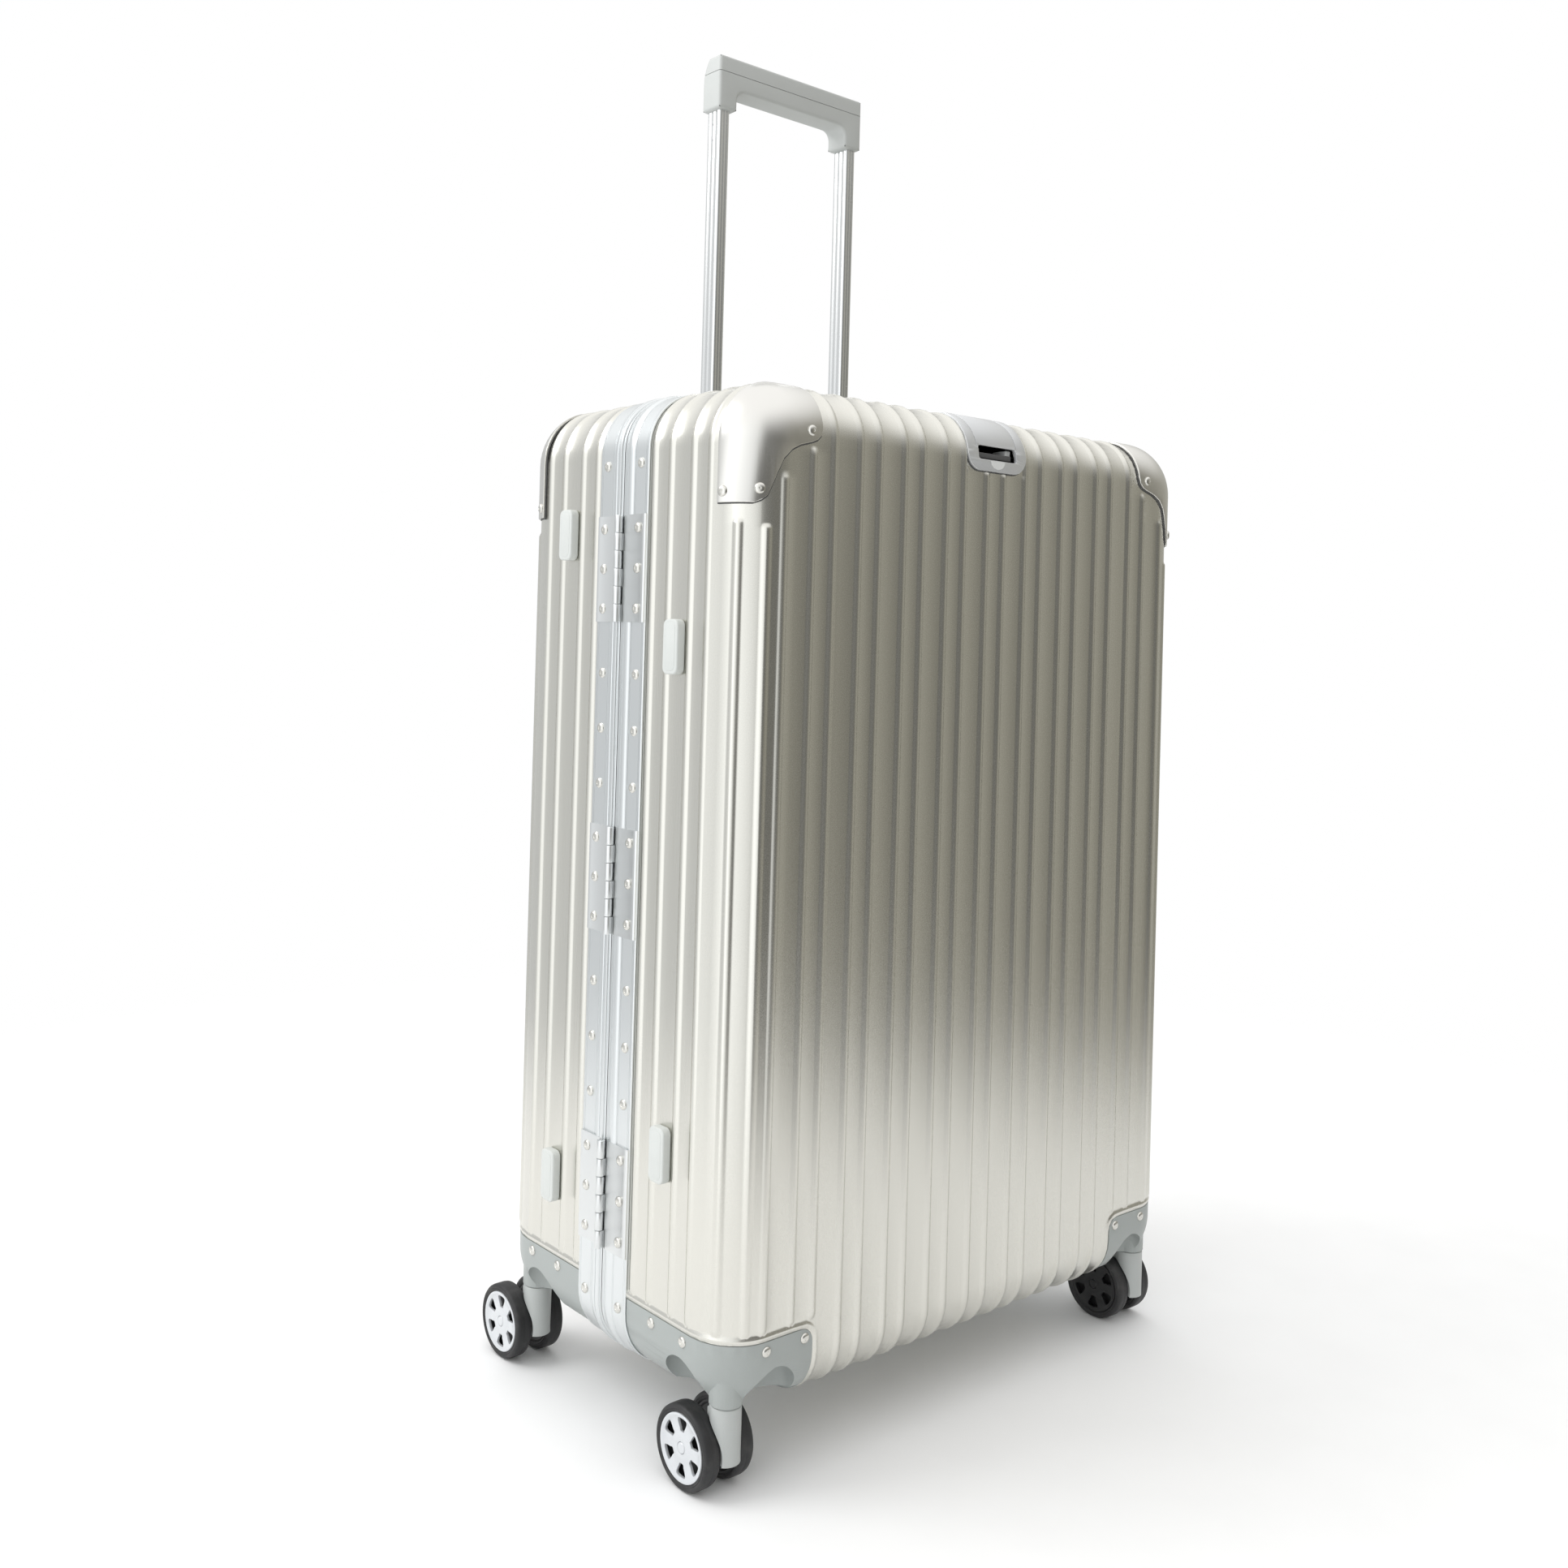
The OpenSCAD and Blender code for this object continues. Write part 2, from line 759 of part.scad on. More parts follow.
module on_top() translate([0, handle_y, body_top + frame_t]) children();
module on_side() translate([frame_out, handle_y, body_mid]) rotate([0, 90, 0]) children();

module top_handle_mounts() {
  color("lightgray") placed() on_top() handle_mount_pair();
}

module top_handle_grip() {
  color("lightgray") placed() on_top() handle_grip();
}

module side_handle_mounts() {
  color("lightgray") placed() on_side() handle_mount_pair();
}

module side_handle_grip() {
  color("lightgray") placed() on_side() handle_grip();
}

// ---- latches ----

module at_latch(s) translate([0, 0, body_mid + s * latch_offset]) children();

module latch_base() {
  translate([frame_out, latch_base_y, -latch_l / 2])
    cube([latch_base_t, frame_w - latch_base_y, latch_l]);
  for (s = [-1, 1])
    translate([frame_out, lever_pivot_y - lever_barrel_r, s * (latch_l - ear_t) / 2 - ear_t / 2])
      cube([lever_x + lever_barrel_r - frame_out, 2 * lever_barrel_r, ear_t]);
  translate([lever_x, lever_pivot_y, -latch_l / 2 + 5]) cylinder(r = lever_pin_r, h = latch_l - 10);
}

module latch_lever(s) {
  color("silver") placed() at_latch(s) difference() {
    union() {
      translate([lever_x, lever_pivot_y, -lever_l / 2]) cylinder(r = lever_barrel_r, h = lever_l);
      translate([lever_in, lever_pivot_y - lever_w, -lever_l / 2]) cube([lever_t, lever_w, lever_l]);
    }
    translate([lever_x, lever_pivot_y, -latch_l]) cylinder(r = lever_pin_r + running, h = 2 * latch_l);
  }
}

module latch_bases() {
  color("silver") placed() for (s = [-1, 1]) at_latch(s) latch_base();
}

module latch_keepers() {
  color("silver") placed() for (s = [-1, 1]) at_latch(s)
    translate([frame_out, -keeper_out, -lever_l / 2])
      cube([lever_in - frame_out - 0.6, keeper_out - 4, lever_l]);
}

// ---- bag holder ----

// Room for the plate on the sheet's outer face, where the ribs are left out.
module holder_zone(gap) {
  difference() {
    translate([-holder_w / 2 - gap, half_d - holder_back - gap, body_top - holder_h - gap])
      cube([holder_w + 2 * gap, 2 * holder_back, 2 * holder_h]);
    side_profile(0, -1, holder_w + 10);
  }
}

module holder_slot(grow) {
  translate([-slot_w / 2 - grow, half_d - hook_l - 4, body_top - slot_drop - grow])
    cube([slot_w + 2 * grow, hook_l + 20, slot_h + 2 * grow]);
}

module bag_holder_plate() {
  color("silver") placed() front_half() difference() {
    intersection() {
      difference() {
        side_profile(-holder_t, 0, holder_w);
        side_profile(0, -1, holder_w + 2);
      }
      translate([0, half_d + 20, body_top - holder_h / 2 + 10]) rotate([90, 0, 0])
        linear_extrude(holder_back + 20) rounded_rect(holder_w, holder_h + 20, 16);
    }
    holder_slot(0);
  }
}

module bag_holder_hook() {
  color("dimgray") placed() front_half()
    translate([-slot_w / 2 + 1, half_d - hook_l, body_top - slot_drop + 1])
      cube([slot_w - 2, hook_l - 1, hook_t]);
}

// ---- inside ----

module lining_tray(depth_y) {
  difference() {
    intersection() {
      half_form(lining_in, frame_w + 2);
      translate([-half_w, 0, lining_floor]) cube([case_w, depth_y, lining_h]);
    }
    intersection() {
      half_form(lining_in + lining_t, frame_w);
      translate([-half_w, 0, lining_floor + lining_t])
        cube([case_w, depth_y - lining_t, lining_h - 2 * lining_t]);
    }
  }
}

module rear_lining() {
  color("dimgray") placed() lining_tray(rear_lining_y);
}

module front_lining() {
  color("dimgray") placed() front_half() lining_tray(half_d - lining_in);
}

module pack_straps() {
  color("darkslategray") placed() for (s = [-1, 1])
    translate([0, strap_y, body_mid + s * strap_offset]) {
      translate([-strap_half, 0, -strap_w / 2]) cube([2 * strap_half, strap_t, strap_w]);
      translate([-buckle_w / 2, -buckle_t + strap_t, -strap_w / 2 - 4])
        cube([buckle_w, buckle_t, strap_w + 8]);
    }
}

module front_divider() {
  color("dimgray") placed() front_half()
    translate([0, divider_y, lining_floor + lining_h / 2]) rotate([-90, 0, 0]) linear_extrude(divider_t)
      rounded_rect(2 * strap_half, lining_h - 2 * lining_t - 2, 30);
}

// ---- casters ----

// Places a caster built at its own swivel axis; left is -X, the lid half is -Y.
module at_caster(sx, sy) placed() translate([sx * stem_x, sy * stem_y, 0]) children();

module fork() {
  color("darkgray") difference() {
    union() {
      translate([0, 0, collar_z]) cylinder(d = stem_d, h = part_z - air - collar_z);
      intersection() {
        translate([0, 0, fork_foot]) cylinder(d = stem_d, h = collar_z + 1 - fork_foot);
        translate([-fork_t / 2, -stem_d, 0]) cube([fork_t, 2 * stem_d, part_z]);
      }
      translate([-fork_t / 2, 0, wheel_r - hub_r]) cube([fork_t, trail, wheel_r + hub_r - 10]);
      translate([-fork_t / 2, trail, wheel_r]) rotate([0, 90, 0]) cylinder(r = hub_r, h = fork_t);
      translate([0, 0, part_z - 1]) cylinder(r = king_r, h = 28);
    }
    translate([-fork_t, trail, wheel_r]) rotate([0, 90, 0]) cylinder(d = axle_d, h = 2 * fork_t);
  }
}

module axle() {
  color("gray") translate([-axle_l / 2, trail, wheel_r]) rotate([0, 90, 0]) cylinder(d = axle_d, h = axle_l);
}

// Places a wheel built around +Z, with its outer face up, on the caster's axle.
module at_wheel(side) translate([side * wheel_half_gap, trail, wheel_r]) rotate([0, side * 90, 0]) children();

module tyre() {
  color("black") rotate_extrude() difference() {
    translate([rim_r + (wheel_r - rim_r) / 2, 0]) rounded_rect(wheel_r - rim_r, wheel_w, 2.5);
    translate([0, -wheel_w]) square([rim_r, 2 * wheel_w]);
  }
}

module rim() {
  color("lightgray") difference() {
    union() {
      rotate_extrude() polygon([
        [axle_d / 2 + running, -wheel_w / 2 + 1], [axle_d / 2 + 4, -wheel_w / 2 + 1],
        [axle_d / 2 + 4, wheel_w / 2 - 4], [rim_r - 3, wheel_w / 2 - 4],
        [rim_r - 3, -wheel_w / 2 + 1.5], [rim_r, -wheel_w / 2 + 1.5],
        [rim_r, wheel_w / 2 - 1], [rim_r - 1, wheel_w / 2], [axle_d / 2 + running, wheel_w / 2],
      ]);
    }
    for (i = [0:window_count - 1]) rotate([0, 0, i * 360 / window_count])
      translate([0, 0, wheel_w / 2 - 6]) linear_extrude(10)
        polygon([[11.5, -2.2], [18.5, -4], [20.5, -2], [20.5, 2], [18.5, 4], [11.5, 2.2]]);
    translate([0, 0, wheel_w / 2 - 2]) cylinder(d = axle_d - 1, h = 3);
  }
}

rear_shell();
front_shell();
rear_frame();
front_frame();
frame_seal();
rear_corner_guards();
front_corner_guards();
rear_wheel_housings();
front_wheel_housings();
rear_rivets();
front_rivets();
hinge_leaves_rear();
hinge_leaves_front();
hinge_pins();
rear_feet();
front_feet();
trolley_outer_tubes();
trolley_middle_tubes();
trolley_inner_tubes();
trolley_grip();
trolley_button();
trolley_bezel();
top_handle_mounts();
top_handle_grip();
side_handle_mounts();
side_handle_grip();
latch_bases();
latch_lever(1);  // latch_lever_upper
latch_lever(-1);  // latch_lever_lower
latch_keepers();
bag_holder_plate();
bag_holder_hook();
rear_lining();
front_lining();
pack_straps();
front_divider();
at_caster(-1, 1) fork();  // rear_left_fork
at_caster(-1, 1) axle();  // rear_left_axle
at_caster(-1, 1) at_wheel(-1) tyre();  // rear_left_tyre_outer
at_caster(-1, 1) at_wheel(1) tyre();  // rear_left_tyre_inner
at_caster(-1, 1) at_wheel(-1) rim();  // rear_left_rim_outer
at_caster(-1, 1) at_wheel(1) rim();  // rear_left_rim_inner
at_caster(1, 1) fork();  // rear_right_fork
at_caster(1, 1) axle();  // rear_right_axle
at_caster(1, 1) at_wheel(1) tyre();  // rear_right_tyre_outer
at_caster(1, 1) at_wheel(-1) tyre();  // rear_right_tyre_inner
at_caster(1, 1) at_wheel(1) rim();  // rear_right_rim_outer
at_caster(1, 1) at_wheel(-1) rim();  // rear_right_rim_inner
at_caster(-1, -1) fork();  // front_left_fork
at_caster(-1, -1) axle();  // front_left_axle
at_caster(-1, -1) at_wheel(-1) tyre();  // front_left_tyre_outer
at_caster(-1, -1) at_wheel(1) tyre();  // front_left_tyre_inner
at_caster(-1, -1) at_wheel(-1) rim();  // front_left_rim_outer
at_caster(-1, -1) at_wheel(1) rim();  // front_left_rim_inner
at_caster(1, -1) fork();  // front_right_fork
at_caster(1, -1) axle();  // front_right_axle
at_caster(1, -1) at_wheel(1) tyre();  // front_right_tyre_outer
at_caster(1, -1) at_wheel(-1) tyre();  // front_right_tyre_inner
at_caster(1, -1) at_wheel(1) rim();  // front_right_rim_outer
at_caster(1, -1) at_wheel(-1) rim();  // front_right_rim_inner
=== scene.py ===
"""Looks of a large ribbed aluminium suitcase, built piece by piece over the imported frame.

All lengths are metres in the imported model's own frame: X runs across the case with the hinges
on the -X side, -Y points out of the lid half, and Z points up from the floor.
"""

import json
import logging
import math
from dataclasses import dataclass
from enum import Enum
from typing import Callable, Sequence

import bmesh
import bpy
import numpy as np
from mathutils import Matrix, Vector


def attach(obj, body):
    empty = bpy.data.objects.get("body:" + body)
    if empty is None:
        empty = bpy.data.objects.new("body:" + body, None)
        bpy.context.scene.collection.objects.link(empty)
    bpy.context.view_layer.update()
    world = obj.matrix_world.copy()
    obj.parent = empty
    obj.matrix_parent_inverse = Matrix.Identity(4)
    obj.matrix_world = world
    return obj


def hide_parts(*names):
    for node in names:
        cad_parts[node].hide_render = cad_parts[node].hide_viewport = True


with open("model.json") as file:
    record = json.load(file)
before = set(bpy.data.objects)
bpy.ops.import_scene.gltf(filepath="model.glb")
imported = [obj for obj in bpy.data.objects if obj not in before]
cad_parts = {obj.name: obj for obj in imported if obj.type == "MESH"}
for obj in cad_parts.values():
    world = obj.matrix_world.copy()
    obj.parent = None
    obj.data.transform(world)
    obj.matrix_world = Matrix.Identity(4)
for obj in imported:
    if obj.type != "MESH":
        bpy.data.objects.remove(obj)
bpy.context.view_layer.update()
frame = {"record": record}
LOG = logging.getLogger("suitcase")
MM = 0.001
Color = tuple[float, float, float]
Point = Sequence[float]
Outline = list[tuple[float, float]]
Piece = bpy.types.Object
Socket = bpy.types.NodeSocket
FLANGE = 1.6 * MM  # how far the frame stands out of the body
AXIS = 0.1 * MM  # least radius of a turned profile
TROLLEY_Y = 122.5 * MM  # poles, from the parting plane
HANDLE_Y = 16 * MM  # carry handles, from the parting plane
CUT_SIZE = 200 * MM  # width and height of the corner cut-out, well past the body


class Half(Enum):
    """The two halves of the case; the value is the sign of Y out of that half."""

    REAR = 1
    LID = -1

    @property
    def body(self) -> str:
        """Name of the CAD body that the half rides on."""
        return "rear_half" if self is Half.REAR else "lid"

    @property
    def word(self) -> str:
        """The half's word in the names of nodes."""
        return "rear" if self is Half.REAR else "front"


class Side(Enum):
    """Left is the hinge side; the value is the sign of X."""

    LEFT = -1
    RIGHT = 1


def joint_place(name: str) -> Vector:
    """Finds where a joint's axis is.

    Args:
        name: The joint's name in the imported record.

    Returns:
        A point on the axis, in metres.
    """
    joints = frame["record"]["behaviour"]["joints"]
    return Vector(next(joint["pos_m"] for joint in joints if joint["name"] == name))


PARTING_Y = joint_place("lid_hinge").y


# ---- node trees ----


class Value:
    """A number inside a node tree that takes part in Python arithmetic."""

    def __init__(self, graph: "Graph", socket: Socket) -> None:
        """Wraps one output socket of a graph."""
        self.graph = graph
        self.socket = socket

    def math(self, operation: str, *others: "Value | float", swap: bool = False) -> "Value":
        """Adds one Math node.

        Args:
            operation: The Math node's operation.
            others: The further operands.
            swap: Whether this value is the last operand instead of the first.

        Returns:
            The node's result.
        """
        operands = [*others, self] if swap else [self, *others]
        node = self.graph.node("ShaderNodeMath", {"operation": operation}, dict(enumerate(operands)))
        return Value(self.graph, node.outputs[0])

    def __add__(self, other: "Value | float") -> "Value":
        """Sum."""
        return self.math("ADD", other)

    __radd__ = __add__

    def __sub__(self, other: "Value | float") -> "Value":
        """Difference."""
        return self.math("SUBTRACT", other)

    def __rsub__(self, other: float) -> "Value":
        """Difference from a plain number."""
        return self.math("SUBTRACT", other, swap=True)

    def __mul__(self, other: "Value | float") -> "Value":
        """Product."""
        return self.math("MULTIPLY", other)

    __rmul__ = __mul__

    def __truediv__(self, other: "Value | float") -> "Value":
        """Quotient."""
        return self.math("DIVIDE", other)

    def absolute(self) -> "Value":
        """Distance from zero."""
        return self.math("ABSOLUTE")

    def sine(self) -> "Value":
        """Sine of an angle in radians."""
        return self.math("SINE")

    def ping_pong(self, scale: float) -> "Value":
        """Distance to the nearest multiple of twice the scale."""
        return self.math("PINGPONG", scale)

    def smooth(self, low: float, high: float, to_low: float = 0.0, to_high: float = 1.0) -> "Value":
        """Smooth step.

        Args:
            low: Input at which the step starts.
            high: Input at which the step ends.
            to_low: Result at the start.
            to_high: Result at the end.

        Returns:
            The stepped value.
        """
        settings = {"interpolation_type": "SMOOTHSTEP"}
        inputs = {0: self, 1: low, 2: high, 3: to_low, 4: to_high}
        return Value(self.graph, self.graph.node("ShaderNodeMapRange", settings, inputs).outputs[0])


class Graph:
    """Adds nodes to one shader or geometry tree."""

    def __init__(self, tree: bpy.types.NodeTree, clear: bool = True) -> None:
        """Keeps the tree, emptied first unless it is to be added to."""
        self.tree = tree
        if clear:
            tree.nodes.clear()

    def node(self, kind: str, settings: dict | None = None, inputs: dict | None = None) -> bpy.types.Node:
        """Adds a node.

        Args:
            kind: The node's type.
            settings: Properties of the node, set before its sockets.
            inputs: Socket name or index to a Value, a socket or a plain value.

        Returns:
            The new node.
        """
        node = self.tree.nodes.new(kind)
        for name, setting in (settings or {}).items():
            setattr(node, name, setting)
        for name, given in (inputs or {}).items():
            socket = given.socket if isinstance(given, Value) else given
            if isinstance(socket, Socket):
                self.tree.links.new(socket, node.inputs[name])
            else:
                node.inputs[name].default_value = socket
        return node

    def mix(self, factor: "Value | float", low: object, high: object) -> Socket:
        """Mixes two colours.

        Args:
            factor: Share of the second colour.
            low: First colour or socket.
            high: Second colour or socket.

        Returns:
            The mixed colour's socket.
        """
        inputs = {0: factor, 6: as_rgba(low), 7: as_rgba(high)}
        return self.node("ShaderNodeMix", {"data_type": "RGBA"}, inputs).outputs[2]

    def ramp(self, value: "Value", stops: Sequence[tuple[float, Color]]) -> Socket:
        """Colour ramp.

        Args:
            value: Position along the ramp.
            stops: Positions and their colours.

        Returns:
            The ramp's colour socket.
        """
        node = self.node("ShaderNodeValToRGB", None, {0: value})
        while len(node.color_ramp.elements) < len(stops):
            node.color_ramp.elements.new(0.5)
        for element, (position, color) in zip(node.color_ramp.elements, stops):
            element.position = position
            element.color = (*color, 1.0)
        return node.outputs[0]

    def pattern_space(self, uv: bool, scale: Point) -> Socket:
        """Coordinates for a pattern.

        Args:
            uv: Whether the pattern follows the piece's UV map, which is in metres.
            scale: Scale along the three axes.

        Returns:
            The scaled vector's socket.
        """
        source = self.node("ShaderNodeTexCoord").outputs["UV" if uv else "Object"]
        return self.node("ShaderNodeMapping", None, {0: source, 3: tuple(scale)}).outputs[0]

    def noise(self, vector: Socket, detail: float = 2.0, rough: float = 0.5) -> Value:
        """Noise from 0 to 1 over a scaled vector."""
        inputs = {"Vector": vector, "Scale": 1.0, "Detail": detail, "Roughness": rough}
        return Value(self, self.node("ShaderNodeTexNoise", None, inputs).outputs[0])

    def parts(self, vector: Socket) -> tuple[Value, Value, Value]:
        """The three parts of a vector."""
        node = self.node("ShaderNodeSeparateXYZ", None, {0: vector})
        return tuple(Value(self, output) for output in node.outputs)


def as_rgba(color: object) -> object:
    """A colour with its alpha, or the socket that was given."""
    return (*color, 1.0) if isinstance(color, tuple) and len(color) == 3 else color


# ---- finishes ----


@dataclass(frozen=True)
class Finish:
    """A material with its colour, its gloss and the fine pattern over it."""

    name: str
    color: Color
    roughness: float
    metallic: float = 0.0
    coat: float = 0.0
    sheen: float = 0.0
    specular: float = 0.5

    def build(self) -> bpy.types.Material:
        """Makes the material once and then hands out the same one.

        Returns:
            The Blender material.
        """
        if self.name in bpy.data.materials:
            return bpy.data.materials[self.name]
        material = bpy.data.materials.new(self.name)
        material.use_nodes = True
        material.diffuse_color = (*self.color, 1.0)
        graph = Graph(material.node_tree)
        shader = graph.node("ShaderNodeBsdfPrincipled", None, {
            "Base Color": as_rgba(self.color), "Roughness": self.roughness, "Metallic": self.metallic,
            "Coat Weight": self.coat, "Sheen Weight": self.sheen, "Specular IOR Level": self.specular,
        })
        graph.node("ShaderNodeOutputMaterial", None, {0: shader.outputs[0]})
        self.paint(graph, shader)
        return material

    def paint(self, graph: Graph, shader: bpy.types.Node) -> None:
        """Adds the surface detail; a plain finish has a faint cloud and a fine speckle.

        Args:
            graph: The material's nodes.
            shader: Its Principled shader.
        """
        cloud = graph.noise(graph.pattern_space(False, (14, 14, 14)), 3)
        speckle = graph.noise(graph.pattern_space(False, (2600, 2600, 2600)), 1)
        self.connect(graph, shader, cloud * 0.6 + speckle * 0.4, speckle, 0.035, 0.000012)

    def connect(self, graph: Graph, shader: bpy.types.Node, tone: Value, relief: Value,
                spread: float, depth: float) -> None:
        """Wires a tone and a relief to the shader.

        Args:
            graph: The material's nodes.
            shader: Its Principled shader.
            tone: Pattern from 0 to 1 that varies colour and gloss.
            relief: Height pattern from 0 to 1.
            spread: How far the colour varies.
            depth: Depth of the relief in metres.
        """
        dark = tuple(c * (1 - spread) for c in self.color)
        light = tuple(min(1.0, c * (1 + spread)) for c in self.color)
        put = graph.tree.links.new
        put(graph.mix(tone, dark, light), shader.inputs["Base Color"])
        put((tone * 0.1 + (self.roughness - 0.05)).socket, shader.inputs["Roughness"])
        bump = graph.node("ShaderNodeBump", None, {"Strength": 1.0, "Distance": depth, "Height": relief})
        put(bump.outputs[0], shader.inputs["Normal"])


@dataclass(frozen=True)
class BrushedSheet(Finish):
    """Anodised sheet with a fine grain along the ribs and faint streaks."""

    grain: float = 1400.0
    depth: float = 0.000005
    uv: bool = True

    def paint(self, graph: Graph, shader: bpy.types.Node) -> None:
        """Adds the grain, the streaks and a slow cloud.

        Args:
            graph: The material's nodes.
            shader: Its Principled shader.
        """
        across = (self.grain, self.grain / 90, 1) if self.uv else (self.grain, self.grain, self.grain / 90)
        grain = graph.noise(graph.pattern_space(self.uv, across), 2)
        blast = graph.noise(graph.pattern_space(False, (3200, 3200, 3200)), 1)
        streak = graph.noise(graph.pattern_space(self.uv, (60, 2.2, 1) if self.uv else (60, 60, 2.2)), 3)
        cloud = graph.noise(graph.pattern_space(False, (5, 5, 5)), 2)
        tone = grain * 0.1 + streak * 0.1 + cloud * 0.4 + blast * 0.4
        self.connect(graph, shader, tone, blast, 0.02, self.depth)


@dataclass(frozen=True)
class MouldedPlastic(Finish):
    """Spark-eroded plastic with a fine pebble and slight flow marks."""

    pebble: float = 1500.0
    depth: float = 0.00003

    def paint(self, graph: Graph, shader: bpy.types.Node) -> None:
        """Adds the pebble and flow marks.

        Args:
            graph: The material's nodes.
            shader: Its Principled shader.
        """
        vector = graph.pattern_space(False, (self.pebble,) * 3)
        cells = graph.node("ShaderNodeTexVoronoi", None, {"Vector": vector, "Scale": 1.0})
        pebble = Value(graph, cells.outputs[0]).smooth(0.1, 0.9)
        flow = graph.noise(graph.pattern_space(False, (22, 22, 60)), 3)
        self.connect(graph, shader, flow * 0.7 + pebble * 0.3, pebble, 0.05, self.depth)


@dataclass(frozen=True)
class Rubber(Finish):
    """Tyre rubber with dust in its pores."""

    dust: Color = (0.12, 0.115, 0.11)

    def paint(self, graph: Graph, shader: bpy.types.Node) -> None:
        """Adds pores and a thin veil of dust.

        Args:
            graph: The material's nodes.
            shader: Its Principled shader.
        """
        pores = graph.noise(graph.pattern_space(False, (900, 900, 900)), 3)
        veil = graph.noise(graph.pattern_space(False, (55, 55, 55)), 4, 0.6).smooth(0.45, 0.8, 0.0, 0.3)
        self.connect(graph, shader, pores, pores, 0.12, 0.00004)
        put = graph.tree.links.new
        put(graph.mix(veil, self.color, self.dust), shader.inputs["Base Color"])


@dataclass(frozen=True)
class Webbing(Finish):
    """Woven band: ribs across its length with a twill shift."""

    pitch: float = 0.0016

    def paint(self, graph: Graph, shader: bpy.types.Node) -> None:
        """Adds the weave.

        Args:
            graph: The material's nodes.
            shader: Its Principled shader.
        """
        along, up, across = graph.parts(graph.pattern_space(False, (1, 1, 1)))
        turn = 2 * math.pi / self.pitch
        warp = ((along + across * 0.5) * turn).sine() * 0.5 + 0.5
        weft = ((across + up) * (turn * 0.7)).sine() * 0.5 + 0.5
        weave = warp * 0.6 + weft * 0.4
        self.connect(graph, shader, weave, weave, 0.35, 0.00022)


@dataclass(frozen=True)
class QuiltedLining(Finish):
    """Polyester lining with stitched diamonds and a fine taffeta weave."""

    diamond: float = 0.045

    def paint(self, graph: Graph, shader: bpy.types.Node) -> None:
        """Adds the diamonds, their stitches and the weave.

        Args:
            graph: The material's nodes.
            shader: Its Principled shader.
        """
        x, y, z = graph.parts(graph.pattern_space(False, (1, 1, 1)))
        rising = (x + y + z).ping_pong(self.diamond)
        falling = (x + y - z).ping_pong(self.diamond)
        pillow = rising.math("MINIMUM", falling).smooth(0.0, self.diamond * 0.45)
        seam = rising.math("MINIMUM", falling).smooth(0.0006, 0.0016, 1.0, 0.0)
        dash = ((x - z) * (2 * math.pi / 0.004)).sine().smooth(-0.2, 0.2)
        weave = graph.noise(graph.pattern_space(False, (1800, 1800, 900)), 2)
        self.connect(graph, shader, weave, pillow * 0.9 + weave * 0.06 - seam * dash * 0.05, 0.12, 0.0035)
        thread = tuple(min(1.0, c * 2.6) for c in self.color)
        cloth = graph.mix(weave, tuple(c * 0.85 for c in self.color), tuple(c * 1.2 for c in self.color))
        graph.tree.links.new(graph.mix(seam * dash, cloth, thread), shader.inputs["Base Color"])


@dataclass(frozen=True)
class NetCloth(Finish):
    """Open warp-knit net."""

    hole: float = 0.0028

    def paint(self, graph: Graph, shader: bpy.types.Node) -> None:
        """Adds the net's holes to the alpha and its threads to the relief.

        Args:
            graph: The material's nodes.
            shader: Its Principled shader.
        """
        x, _, z = graph.parts(graph.pattern_space(False, (1, 1, 1)))
        turn = math.pi / self.hole
        net = ((x + z * 0.58) * turn).sine().absolute().math(
            "MINIMUM", ((x - z * 0.58) * turn).sine().absolute())
        thread = net.smooth(0.35, 0.6, 1.0, 0.0)
        self.connect(graph, shader, thread, thread, 0.2, 0.0003)
        graph.tree.links.new((thread * 0.75 + 0.25).socket, shader.inputs["Alpha"])


